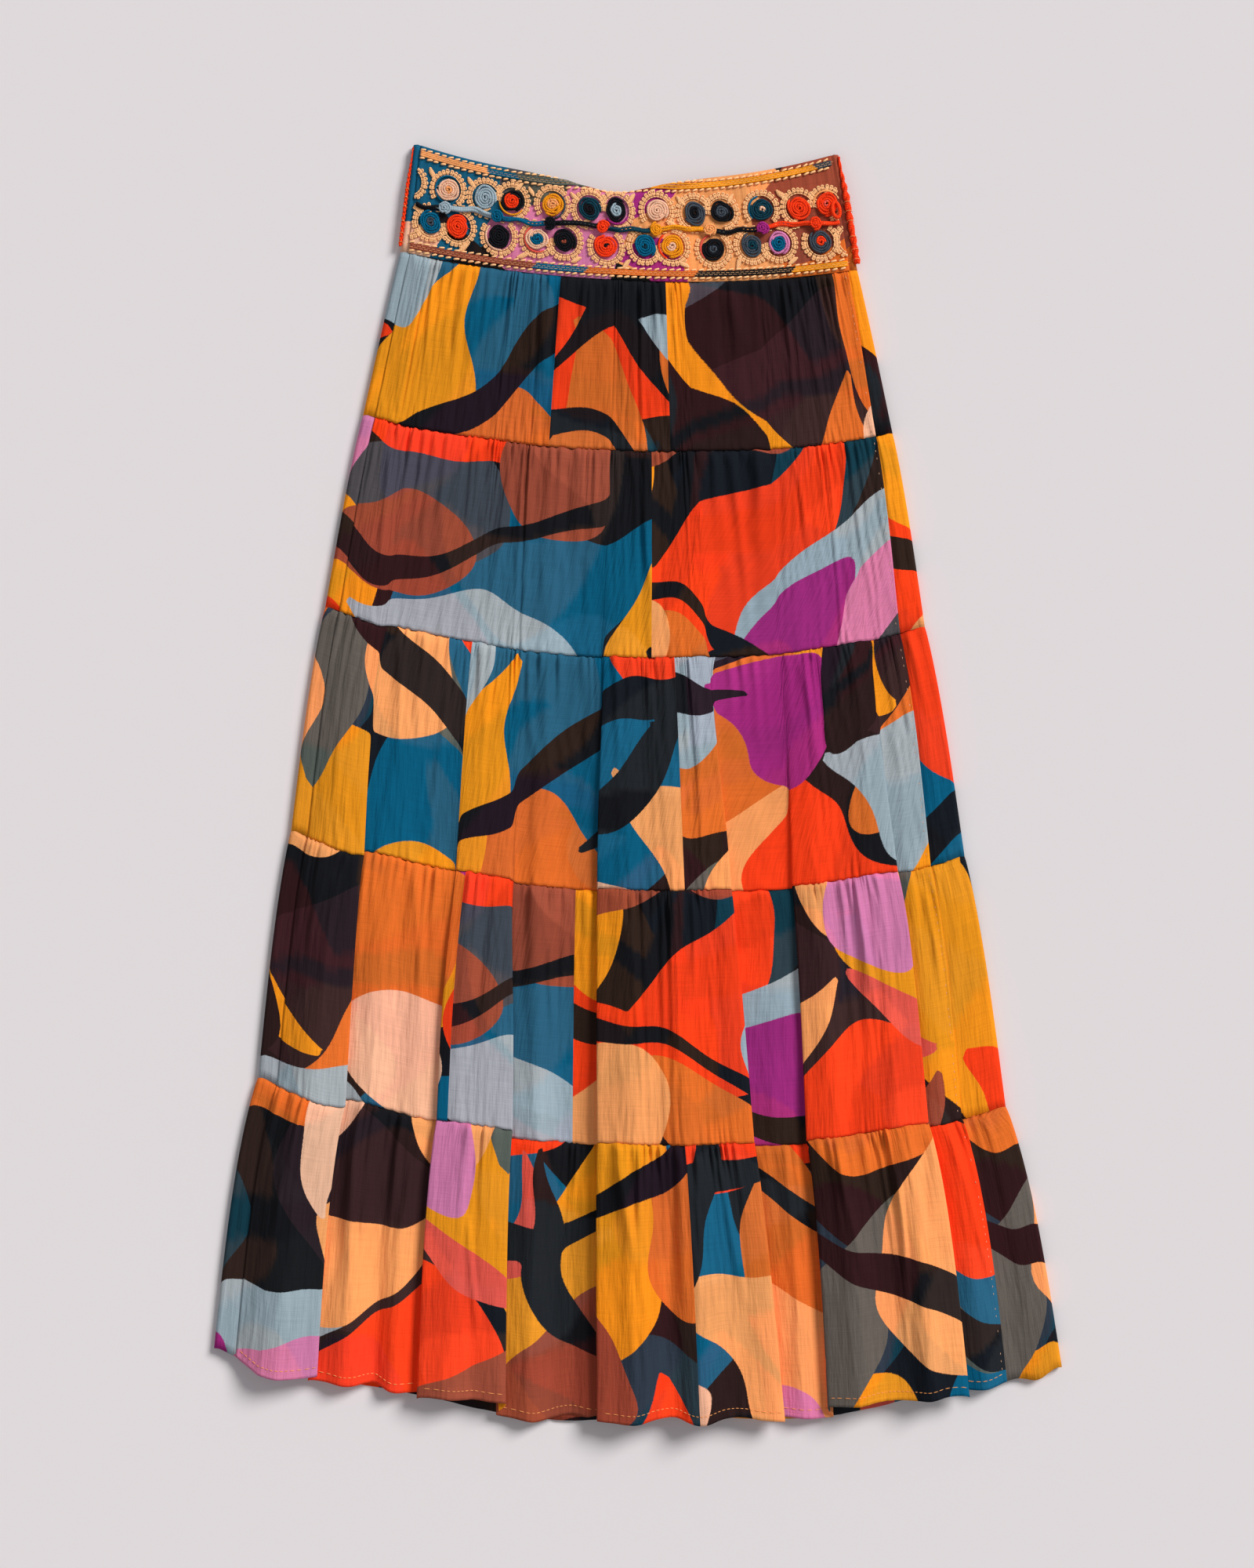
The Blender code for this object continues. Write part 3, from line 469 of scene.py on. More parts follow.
def gather_folds(tier, share, down, back=False):
    """Soft rounded folds that the gathers send down from a seam, some short and some nearly as
    long as the tier."""
    seed = gather_seed(tier, back)
    leaning = share + 0.10 * down * wander(share, seed + 6, 4, 9)
    ridge = ridges(pucker_phase(tier, leaning, seed) / PUCKERS_A_FOLD, 1.4)
    strength = uneven(share, seed + 7, 5, 13, middle=0.55, sway=0.75, most=1.15)
    reach = mix(*GATHER_REACHES, uneven(share, seed + 8, 4, 11))
    fading = np.exp(-((down / reach) ** 1.5)) * sets_in(down, 0.004)
    return by_tier(tier, *GATHER_HEIGHTS) * ridge * strength * fading


def pucker_above(tier, share, up):
    """Short puckers that the gathers below a seam raise in the cloth above it."""
    ridge = ridges(pucker_phase(tier + 1, share, gather_seed(tier + 1)))
    reach = mix(*ABOVE_REACHES, uneven(share, 700 + tier, 11, 31))
    return ABOVE_HEIGHT * ridge * np.exp(-up / reach) * sets_in(up, 0.0015)


def crinkle(share, depth, seed):
    """Fine lengthwise crinkles: slightly slanted waves that come and go down the cloth, and are
    strongest under each seam. The wider ones have sharp ridges, as pressed creases do."""
    random = np.random.default_rng(seed)
    total = np.zeros_like(share)
    for n in range(CRINKLES):
        sharp = n < SHARP_CRINKLES
        across = random.uniform(*(SHARP_ACROSS if sharp else FINE_ACROSS))
        slant = random.uniform(-CRINKLE_SLANT, CRINKLE_SLANT)
        start, wobble = random.uniform(0, 1, 2)
        phase = across * share + slant * depth + start + 0.25 * turned(2.1 * depth + wobble)
        comes = 0.5 + 0.5 * turned(0.9 * depth + across * 0.08 * share + wobble)
        if sharp:
            wave = 1.0 - 1.9 * np.abs(np.sin(math.pi * phase)) ** 0.8
        else:
            wave = np.cos(2 * math.pi * phase)
        total = total + wave * comes**2 / across**0.5
    return CRINKLE_HEIGHT * total * (0.55 + 0.45 * np.exp(-3.0 * (depth % 1.0)))


def soft_folds(share, depth):
    """Broad ridges and troughs, bells across, that grow from where they start to the hem."""
    total = np.zeros_like(share)
    for at, half, height, starts in SOFT_FOLDS:
        total = total + SOFT_GAIN * height * grown(starts, depth, SOFT_ENDS) * bell((share - at) / half)
    return total


def creases(tier, share, t, back=False):
    """The creases of a tier: a bell across, and a flat hump along, each crease."""
    total = np.zeros_like(share)
    metres = front_width(tier, t)
    for from_share, from_t, to_share, to_t, half, height in CREASES[tier]:
        along = (t - from_t) / (to_t - from_t)
        at = mix(from_share, to_share, along)
        away = (share - (1.0 - at if back else at)) * metres
        shown = smooth(along / 0.15) * smooth((1.0 - along) / 0.5)
        total = total + CREASE_GAIN * height / 1000 * shown * bell(away * 1000 / half)
    return total


def seam_shape(tier, down, up):
    """The cloth dips into the seam above it and into the one below it, and puffs up a little
    under the first."""
    rise = by_tier(tier, *PUFF_HEIGHTS) * (down / PUFF_DOWN) * np.exp(1.0 - down / PUFF_DOWN)
    return rise - DIP_ABOVE[0] * np.exp(-down / DIP_ABOVE[1]) + DIP_BELOW[0] * np.exp(-up / DIP_BELOW[1])


def seam_ruffle(tier, share, down, up):
    """Each seam runs in tiny scallops where the gathers pull at it. The upper tier's edge lies
    over the top of the lower one, which goes a little way under it."""
    shift = SEAM_SCALLOP * pucker_wave(tier, share) * np.exp(-down / SCALLOP_REACH)
    shift = shift + SEAM_UNDER * np.exp(-down / UNDER_REACH)
    if tier < LAST_TIER:
        shift = shift + SEAM_SCALLOP * pucker_wave(tier + 1, share) * np.exp(-up / SCALLOP_REACH)
    return shift


HEM_DROP = 0.5  # how much lower the hem lies on a ridge, for each metre of the ridge's height
HEM_LEVEL = 0.25  # between the folds the hem keeps this much of its slope, and steps at them
HEM_WAVE = 0.0018
HEM_SOFT = (0.014, 0.008)  # half the length of a step, at a plain edge and at a lap


def hem_shift(share, depth):
    """The hem hangs a few millimetres longer here and there, and lower on the ridges. It runs
    flatter between the edges of the folds and steps up or down at each of them."""
    edges = [0.0] + [e.hem for e in EDGES] + [1.0]
    soft = [0.0] + [HEM_SOFT[e.lap > 0] for e in EDGES] + [0.0]
    at, level = [], []
    for n in range(len(edges) - 1):
        centre = (edges[n] + edges[n + 1]) / 2
        for end in (edges[n] + soft[n], edges[n + 1] - soft[n + 1]):
            at.append(end)
            level.append(centre + HEM_LEVEL * (end - centre))
    steps = level_y(LEVELS[-1], np.interp(share, at, level)) - level_y(LEVELS[-1], share)
    return HEM_WAVE * wander(share, 91, 4, 13) + steps - HEM_DROP * soft_folds(share, depth)


def front_points(tier, share, t):
    """The middle of the cloth on the front: the solids' form with the finer folds on it."""
    depth = tier + t
    turn, drop, height = folds(share, depth, front_width(tier, t))
    down, up = t * tier_height(tier), (1.0 - t) * tier_height(tier)
    fade = side_fade(share)
    x = flat_x(tier, share + drift(share, depth), t) + turn
    y = flat_y(tier, share, t) + drop + hem_shift(share, depth) * smooth(depth - LAST_TIER) * fade
    y = y + seam_ruffle(tier, share, down, up) * fade
    fine = pucker(tier, share, down) + crinkle(share, depth, 5 + tier)
    fine = fine + soft_folds(share, depth) + creases(tier, share, t)
    fine = fine + gather_folds(tier, share, down)
    if tier < LAST_TIER:
        fine = fine + pucker_above(tier, share, up)
    fine = (fine * pressed(share, depth) + seam_shape(tier, down, up)) * fade
    fine = np.maximum(fine, TROUGH_MOST * np.tanh(fine / TROUGH_MOST))
    arch = band_arch(share) * (1.0 - smooth((depth - 1.0) / 1.1))
    return np.stack([x, y, TOP_LAYER + arch + height + fine], axis=-1)


def roll_bell(share):
    return bell((share - BAND_MIDDLE) / ROLL_SHARE)


def band_run(share):
    """Sideways and upward run of the front waistband, from its seam to its edge."""
    return flat_x(0, share, 0.0) - flat_x(0, share, 1.0), flat_y(0, share, 0.0) - flat_y(0, share, 1.0)


def band_height(share):
    dx = mix(LEVELS[0].left_x, LEVELS[0].right_x, share) - mix(LEVELS[1].left_x, LEVELS[1].right_x, share)
    return np.hypot(dx, band_run(share)[1])


def band_point(share, up):
    """Inner side of the front waistband, up metres above its seam: straight, and then round an
    arc of the roll's radius towards the inside."""
    dx, dy = band_run(share)
    tall = np.hypot(dx, dy)
    straight = np.minimum(up, band_height(share) - mix(ROLL_LEAST, ROLL_MOST, roll_bell(share)))
    beyond = up - straight
    angle = np.minimum(beyond / ROLL_RADIUS, ROLL_TURN)
    rest = beyond - ROLL_RADIUS * angle
    along = straight + ROLL_RADIUS * np.sin(angle) + rest * np.cos(angle)
    down = ROLL_RADIUS * (1.0 - np.cos(angle)) + rest * np.sin(angle)
    x, y = flat_x(0, share, 1.0) + dx / tall * along, flat_y(0, share, 1.0) + dy / tall * along
    return np.stack([x, y, WALL + LAYER_GAP + band_arch(share) - down], axis=-1)


def unit(vectors):
    return vectors / np.maximum(np.linalg.norm(vectors, axis=-1, keepdims=True), 1e-12)


def band_line(share, up, lift):
    """Points lift metres off the outer face of the front waistband, and the way out there, from
    small steps across and up it."""
    share, up, lift = np.broadcast_arrays(share, up, np.asarray(lift, dtype=float))
    small = 1e-4
    across = band_point(share + small, up) - band_point(share - small, up)
    rise = band_point(share, up + small) - band_point(share, up - small)
    normal = unit(np.cross(across, rise))
    return band_point(share, up) + normal * (WALL + lift)[..., None], normal


def vine_up(share):
    """The vine sways from side to side, once over every two clusters."""
    return VINE_HEIGHT + VINE_SWAY * np.sin(math.pi * (share - FIRST_CLUSTER) / CLUSTER_PITCH)


# The print, as depths inside its inks

def nearest(offset, size):
    """An offset to the nearest copy of a motif in the repeat."""
    return (offset + size / 2) % size - size / 2


def motif_depth(m, u, v):
    """How far inside a motif a place is, in metres, and less than 0 outside it. A drop is a
    round end joined to its point by two straight sides, which its bend curves. The points are a
    little blunt."""
    size = REPEAT / 1000
    du, dv = nearest(u - m.u / 1000, size), nearest(v - m.v / 1000, size)
    long, wide = m.long / 1000, m.wide / 1000
    turn = math.radians(m.turn)
    if m.kind == "wave":
        sway = long * np.sin(2 * math.pi * u / size + turn)
        swell = 1.0 + 0.45 * np.sin(4 * math.pi * u / size + 1.0)
        return wide * swell - np.abs(nearest(dv - sway, size))
    x, y = du * math.cos(turn) + dv * math.sin(turn), -du * math.sin(turn) + dv * math.cos(turn)
    y = y - m.bend * (x**2 / long - 0.4 * long)
    y = y / (1.0 + m.skew * np.clip(x / long, -1.2, 1.2))
    if m.kind == "leaf":
        radius = (long**2 + wide**2) / (2 * wide)
        depth = radius - np.hypot(x, np.abs(y) + radius - wide)
        return np.minimum(depth, 0.93 * long - np.abs(x))
    if m.kind == "drop":
        reach = 2 * long - wide
        lean = wide / reach
        rise = math.sqrt(1.0 - lean**2)
        x, y = x + long - wide, np.abs(y)
        along = rise * x - lean * y
        depth = np.where(along < 0, wide - np.hypot(x, y), wide - rise * y - lean * x)
        depth = np.where(along > rise * reach, -np.hypot(x - reach, y), depth)
        return np.minimum(depth, 0.955 * reach - x)
    return (1.0 - np.hypot(x / long, y / wide)) * min(long, wide)


WAVER, WAVER_FINE = (0.0075, 0.160), 0.064  # how far outlines waver, and over which lengths


def ink_depths(u, v, inks):
    """Depth inside each ink of a print, one row an ink, on slightly wavering outlines."""
    u, v = u / PRINT_SCALE, v / PRINT_SCALE
    u2 = u + WAVER[0] * turned(v / WAVER[1] + 0.2) + 0.0022 * turned(v / WAVER_FINE)
    v2 = v + WAVER[0] * turned(u / WAVER[1] + 0.6) + 0.0020 * turned(u / WAVER_FINE)
    rows = []
    for name in PRINT:
        depths = [motif_depth(Motif(*row), u2, v2) for row in inks.get(name, [])]
        rows.append(np.max(depths, axis=0) if depths else np.full_like(u, NO_INK))
    return np.array(rows) * PRINT_SCALE


def printed_colour(depths):
    """The colour that shows where the inks lie this deep, ink over ink on the ground."""
    colour = np.tile(linear_colour("ground"), (depths.shape[1], 1))
    for name, depth in zip(PRINT, depths):
        colour[depth > 0] = linear_colour(name)
    return colour


# Meshes

def new_object(name, mesh, material):
    mesh.materials.append(material)
    obj = bpy.data.objects.new(name, mesh)
    bpy.context.scene.collection.objects.link(obj)
    return obj


def grid_quads(rows, columns, wrap=False):
    """Corner indices of the quads of a grid of points, closed round its columns if wrapped."""
    r = np.arange(rows - 1)[:, None] * columns
    c = np.arange(columns if wrap else columns - 1)[None, :]
    n = (c + 1) % columns
    return np.stack([r + c, r + n, r + columns + n, r + columns + c], axis=-1).reshape(-1, 4)


def build_mesh(name, points, faces):
    """A smooth mesh from an array of points and a list of arrays of faces."""
    mesh = bpy.data.meshes.new(name)
    mesh.vertices.add(len(points))
    mesh.vertices.foreach_set("co", points.astype(np.float32).ravel())
    corners = np.concatenate([f.ravel() for f in faces])
    sizes = np.concatenate([np.full(len(f), f.shape[1]) for f in faces])
    starts = np.concatenate([[0], np.cumsum(sizes)[:-1]])
    mesh.loops.add(len(corners))
    mesh.loops.foreach_set("vertex_index", corners.astype(np.int32))
    mesh.polygons.add(len(sizes))
    mesh.polygons.foreach_set("loop_start", starts.astype(np.int32))
    mesh.update(calc_edges=True)
    mesh.validate()
    mesh.shade_smooth()
    return mesh, corners


def set_uv(mesh, u, v):
    layer = mesh.uv_layers.new(name="cloth")
    layer.data.foreach_set("uv", np.stack([u, v], axis=-1).astype(np.float32).ravel())


def set_corner_vectors(mesh, name, values):
    layer = mesh.attributes.new(name, "FLOAT_VECTOR", "CORNER")
    layer.data.foreach_set("vector", values.astype(np.float32).ravel())


# painted show-through: the print of the layer beneath is painted into each piece's colour, placed by this
# shift and blur
SHOW_THROUGH_SHIFT = (0.37, 0.21)  # how the print of the layer beneath lies against this one
SHOW_THROUGH_BLUR = 0.0009


def make_cloth(name, points, u, v, tier, jump_columns, material):
    """A thin shell of printed cloth over a grid of points. u and v say where on the printed
    cloth each point lies, and the print jumps at the piecing columns."""
    rows, columns = points.shape[:2]
    quads = grid_quads(rows, columns)
    if name.endswith("back"):
        quads = quads[:, ::-1]
    pieced = np.zeros(columns - 1)
    for column in jump_columns:
        pieced[column:] += 1
    piece = np.repeat(np.tile(pieced, rows - 1), 4)
    mesh, corners = build_mesh(name, points.reshape(-1, 3), [quads])
    cu = u.ravel()[corners] + tier * TIER_JUMP[0] + piece * PRINT_JUMP[0]
    cv = v.ravel()[corners] + tier * TIER_JUMP[1] + piece * PRINT_JUMP[1]
    set_uv(mesh, cu, cv)
    depths = ink_depths(cu, cv, PRINT if tier else BAND_PRINT)
    depths = np.concatenate([depths, np.zeros((-len(depths) % INKS_EACH, len(cu)))])
    for n in range(0, len(depths), INKS_EACH):
        set_corner_vectors(mesh, f"inks_{n // INKS_EACH}", depths[n : n + INKS_EACH].T)
    # painted show-through and shade: the colour of the print on the layer beneath, which the material paints
    # in
    places = [(SHOW_THROUGH_SHIFT[0] - cu + a, cv + SHOW_THROUGH_SHIFT[1] + a) for a in (-SHOW_THROUGH_BLUR, SHOW_THROUGH_BLUR)]
    beneath = np.mean([printed_colour(ink_depths(*place, PRINT)) for place in places], axis=0)
    set_corner_vectors(mesh, "beneath", beneath)
    cloth = new_object(name, mesh, material)
    shell = cloth.modifiers.new("thickness", "SOLIDIFY")
    shell.thickness = SHELL
    shell.offset = 0.0
    return cloth


def tube_points(path, normal, radius, sides_count, flatten):
    """Rings round a path. Each ring lies across the path and starts from the given normal."""
    along = unit(np.gradient(path, axis=0))
    out = unit(normal - along * np.sum(normal * along, axis=-1, keepdims=True))
    side = np.cross(along, out)
    angle = (2 * math.pi * np.arange(sides_count) / sides_count)[None, :, None]
    ring = np.cos(angle) * side[:, None] + flatten * np.sin(angle) * out[:, None]
    return path[:, None] + radius[:, None, None] * ring


Tube = namedtuple("Tube", "rings colours lengths")


def make_tube(line, radius, colours, sides_count=7, flatten=1.0):
    """A tube round a line of points and normals, closed to a point at both ends: its rings, and
    the colour and length at each."""
    path, normal = line
    ends = np.ones(len(path))
    ends[[0, -1]] = 0.02
    rings = tube_points(path, normal, radius * ends, sides_count, flatten)
    pace = np.linalg.norm(np.diff(path, axis=0), axis=-1)
    return Tube(rings, colours, np.concatenate([[0.0], np.cumsum(pace)]))


def join_tubes(name, tubes, material):
    """Many tubes as one mesh, with the colour of their thread and a UV map: how far along each
    tube, and how far round it."""
    points, faces, colours, lengths, turns, base = [], [], [], [], [], 0
    for tube in tubes:
        rows, columns = tube.rings.shape[:2]
        round_it = np.arange(columns)
        points.append(tube.rings.reshape(-1, 3))
        faces.append(grid_quads(rows, columns, wrap=True) + base)
        faces.append(np.array([round_it[::-1], round_it + (rows - 1) * columns]) + base)
        colours.append(np.repeat(tube.colours, columns, axis=0))
        lengths.append(np.repeat(tube.lengths, columns))
        turns.append(np.tile(round_it / columns, rows))
        base += rows * columns
    mesh, corners = build_mesh(name, np.concatenate(points), faces)
    set_corner_vectors(mesh, "thread", np.concatenate(colours)[corners])
    set_uv(mesh, np.concatenate(lengths)[corners], np.concatenate(turns)[corners])
    return new_object(name, mesh, material)


# Threads and cords on the band

def polar(share, up, radius, angle):
    """Shares and heights round a point of the band, for radii in metres and angles in radians."""
    return share + radius * np.cos(angle) / BAND_SPAN, up + radius * np.sin(angle)


def shade(colour, seed, count, spread=0.10):
    """A thread's colour along it, a little lighter and darker from place to place."""
    tone = 1.0 + spread * wander(np.linspace(0, 1, count), seed, 2, 14)
    return linear_colour(colour)[None] * tone[:, None]


def stitch(line, radius, colour, seed):
    """One thread pulled through the cloth at both ends: it dips there and swells between."""
    count = len(line[0])
    swell = np.sin(np.linspace(0.12, 0.88, count) * math.pi) ** 0.5
    return make_tube(line, radius * swell, shade(colour, seed, count), 5)


STITCH_REACH = np.array([-0.5, -0.46, -0.2, 0.2, 0.46, 0.5])
STITCH_DIP = np.array([-0.6, -0.2, 0.2, 0.2, -0.2, -0.6])


def bar(share, up, angle, length, radius, lift, colour, seed):
    """A straight stitch on the band, by its middle, direction and length."""
    s, u = polar(share, up, STITCH_REACH * length, angle)
    return stitch(band_line(s, u, lift + STITCH_DIP * radius), radius, colour, seed)


# How each rosette is wound, in order along the band: the colours from the rim to the middle,
# and how much of the coil the first one takes.
Coil = namedtuple("Coil", "rim inner share crescent")
COILS = [
    ("blush", "peach", 0.75, "teal"), ("teal", "slate", 0.66, None), ("poppy", "poppy", 0.5, None),
    ("mist", "mist", 0.85, None), ("black", "poppy", 0.36, "marigold"), ("black", "black", 0.5, "blush"),
    ("marigold", "peach", 0.55, "slate"), ("blush", "teal", 0.50, "coral"), ("black", "brown", 0.85, None),
    ("navy", "black", 0.55, None), ("black", "mist", 0.50, "magenta"), ("poppy", "black", 0.88, None),
    ("blush", "blush", 0.60, None), ("teal", "navy", 0.85, None), ("marigold", "blush", 0.66, "poppy"),
    ("slate", "black", 0.60, None), ("black", "slate", 0.50, None), ("black", "slate", 0.70, "coral"),
    ("navy", "blush", 0.80, "teal"), ("slate", "navy", 0.60, None), ("pink", "teal", 0.38, None),
    ("poppy", "poppy", 0.5, None), ("poppy", "coral", 0.8, "peach"), ("slate", "poppy", 0.62, None),
]
HUB_COLOURS = ["mist", "teal", "black", "poppy", "marigold", "peach", "magenta", "poppy"]
COIL_THREAD, COIL_TURNS = 0.00098, 4.3  # half the thickness of a rosette's cord
HUB_THREAD, HUB_TURNS, HUB_BASE = 0.00095, 2.6, 0.0023
COIL_SIZE = 1.07  # a coil bulges a little past its solid
COIL_POINTS = 26  # points along each turn
COIL_OVAL, COIL_WAVER, COIL_INWARDS = 0.06, 0.062, 0.93
COIL_RISE, COIL_UNEVEN = 0.0006, 0.15
FULL_TURN = 6.28
CRESCENT_POINTS, CRESCENT_THREAD = 22, 0.00085
PULLED_THREADS, PULLED_LONG, PULLED_THICK = 7, 0.0022, 0.00022


def coil_tubes(share, up, radius, base, coil, turns, thread, seed):
    """A cord wound inwards in a flat spiral, its radius shrinking evenly with the angle, a
    little oval, with its middle a little higher. A thread pulls across it here and there."""
    random = np.random.default_rng(seed)
    count = int(turns * COIL_POINTS)
    way = np.linspace(0.0, 1.0, count)
    angle = 2 * math.pi * turns * way + random.uniform(0, FULL_TURN)
    oval = 1.0 + COIL_OVAL * np.cos(2 * angle + random.uniform(0, FULL_TURN))
    oval = oval + COIL_WAVER * wander(way, seed + 7, 6, 22)
    s, u = polar(share, up, (radius - thread) * (1.0 - COIL_INWARDS * way) * oval, angle)
    lift = base + thread + COIL_RISE * way + 0.00030 * wander(way, seed, 8, 30)
    split = int(coil.share * count)
    colours = shade(coil.rim, seed + 1, count)
    colours[split:] = shade(coil.inner, seed + 2, count - split)
    thickness = thread * 1.05 * (1.0 + COIL_UNEVEN * wander(way, seed + 9, 14, 44))
    tubes = [make_tube(band_line(s, u, lift), thickness, colours, 6)]
    if coil.crescent:
        start = random.uniform(0, FULL_TURN)
        turn = start + np.linspace(0.0, math.radians(random.uniform(120, 210)), CRESCENT_POINTS)
        s, u = polar(share, up, radius + 0.0007, turn)
        line = band_line(s, u, base + 0.0008 * np.sin(np.linspace(0.2, 2.9, CRESCENT_POINTS)))
        tubes.append(make_tube(line, CRESCENT_THREAD, shade(coil.crescent, seed + 3, CRESCENT_POINTS), 6))
    for n in range(PULLED_THREADS):
        at, out = random.uniform(0, FULL_TURN), radius * random.uniform(0.25, 0.9)
        s, u = polar(share, up, out, at)
        lift = base + 2 * thread + 0.0005 * (1.0 - out / radius)
        colour = coil.rim if out > radius * (1.0 - coil.share) else coil.inner
        lean = at + random.uniform(-0.5, 0.5)
        tubes.append(bar(s, u, lean, PULLED_LONG, PULLED_THICK, lift, colour, n))
    return tubes


LOBES = 19
ON_CLOTH = (0.0075, 0.9925)  # stitches stay on the front of the band
RING_INNER, RING_OUTER = 0.0012, 0.0060  # off the edge of the rosette
RING_PITCH = math.radians(272) / LOBES
RING_THREAD, LOBE_THREAD = 0.00058, 0.00072
RING_GAP = 0.0009  # cloth that shows between the inner round and the petals
PETAL_STITCHES = (-0.27, 0.0, 0.27)
PETAL_SHORTER = (0.0012, 0.0019)  # the petals end this far inside the outer round
LOBE_HIGH, LOBE_HALF = 0.0010, 0.31

# Edgings at the ends of the band that run off it at the side seams
EdgeRing = namedtuple("EdgeRing", "share up towards")
EDGE_RINGS = [EdgeRing(-0.008, 0.0555, 20), EdgeRing(0.0, 0.0255, -30), EdgeRing(1.008, 0.0235, 200)]
EDGE_RADIUS = 0.0093


def ring_tubes(share, up, radius, towards, seed):
    """A scalloped edging on the side of a rosette that faces away from the vine: lobe by lobe, a
    short stitch round the inside, bars that fan out from it, and a half round at the outside."""
    random = np.random.default_rng(seed)
    tubes = []
    for n in range(LOBES):
        middle = towards + (n - (LOBES - 1) / 2) * RING_PITCH + random.uniform(-0.02, 0.02)
        inner, outer = radius + RING_INNER, radius + RING_OUTER - random.uniform(*PETAL_SHORTER)
        lift = 0.00020 + 0.00015 * random.random()
        s, u = polar(share, up, inner, middle)
        if ON_CLOTH[0] < s < ON_CLOTH[1]:
            long = inner * RING_PITCH * 0.95
            tubes.append(bar(s, u, middle + math.pi / 2, long, RING_THREAD, lift + 0.0003, "apricot", n))
        foot = inner + RING_GAP
        for side in PETAL_STITCHES:
            at = middle + side * RING_PITCH
            s, u = polar(share, up, (foot + outer) / 2, at)
            if ON_CLOTH[0] < s < ON_CLOTH[1]:
                lean = at + random.uniform(-0.4, 0.4)
                tubes.append(bar(s, u, lean, outer - foot, RING_THREAD * 1.1, lift, "apricot", n))
        turn = np.linspace(-0.15 * math.pi, 1.15 * math.pi, 6)
        round_it = middle - LOBE_HALF * RING_PITCH * np.cos(turn)
        s, u = polar(share, up, outer + LOBE_HIGH * np.sin(turn), round_it)
        if s.min() > ON_CLOTH[0] and s.max() < ON_CLOTH[1]:
            tubes.append(stitch(band_line(s, u, lift + 0.0002), LOBE_THREAD, "apricot", seed + n))
    return tubes


# Leaves of slanted stitches between the rings: where along the band in pitches of the
# clusters, height above the seam, direction in degrees and length.
LEAVES = [
    (-0.30, 0.0655, 118, 0.0100), (0.46, 0.0640, 128, 0.0105), (1.38, 0.0665, 42, 0.0085),
    (1.62, 0.0640, 122, 0.0080), (2.46, 0.0630, 136, 0.0095), (3.55, 0.0640, 48, 0.0090),
    (4.50, 0.0640, 130, 0.0095), (5.46, 0.0650, 52, 0.0090), (6.45, 0.0655, 132, 0.0120),
    (7.30, 0.0640, 66, 0.0090), (0.42, 0.0125, 42, 0.0110), (1.52, 0.0130, 20, 0.0105),
    (2.50, 0.0135, 24, 0.0090), (3.42, 0.0125, 46, 0.0095), (4.48, 0.0135, 150, 0.0095),
    (5.50, 0.0140, 64, 0.0100), (6.50, 0.0130, 26, 0.0090), (-0.42, 0.0190, 80, 0.0080),
    (0.78, 0.0450, 20, 0.0070), (1.80, 0.0300, 12, 0.0075), (2.72, 0.0455, 22, 0.0080),
    (3.70, 0.0310, 160, 0.0075), (4.30, 0.0460, 150, 0.0070), (6.66, 0.0450, 28, 0.0075),
]
LEAF_STITCHES, LEAF_SLANT = 10, 0.95
LEAF_WIDE, LEAF_LEAST = 0.46, 0.0008  # a stitch in the middle, for the leaf's length, and one at its end
LEAF_THREAD, LEAF_LIFT = 0.00062, 0.00035


def leaf_tubes(pitches, up, turn, length, seed):
    """Stitches side by side across a leaf, each as long as the leaf is wide there."""
    share = FIRST_CLUSTER + pitches * CLUSTER_PITCH
    turn = math.radians(turn)
    tubes = []
    for n in range(LEAF_STITCHES):
        way = (n + 0.5) / LEAF_STITCHES - 0.5
        wide = LEAF_WIDE * length * (1.0 - (2 * abs(way)) ** 1.6) + LEAF_LEAST
        s, u = polar(share, up, way * length, turn)
        lean = turn + LEAF_SLANT
        tubes.append(bar(s, u, lean, wide, LEAF_THREAD, LEAF_LIFT, "apricot", seed + n))
    return tubes


# The cord of the vine changes colour at the hubs: its colours by pitches of the clusters.
VINE_COLOURS = ["black", "mist", "teal", "black", "navy", "marigold", "black", "poppy", "poppy"]
VINE_POINTS = 420
VINE_ENDS = (0.012, 0.988)
VINE_PLY = 0.00128
VINE_WANDER = 0.0022
VINE_ROLL = 0.052  # over this length the plies roll a little over each other and back
BETWEEN_PLIES, BESIDE_PLIES = (0.0019, 0.00024), (0.0036, 0.00052)  # length and thickness of stitches
LOOP_FOOT, LOOP_HALF, LOOP_THREAD = (0.983, 0.0425), (0.0030, 0.0062), 0.00145


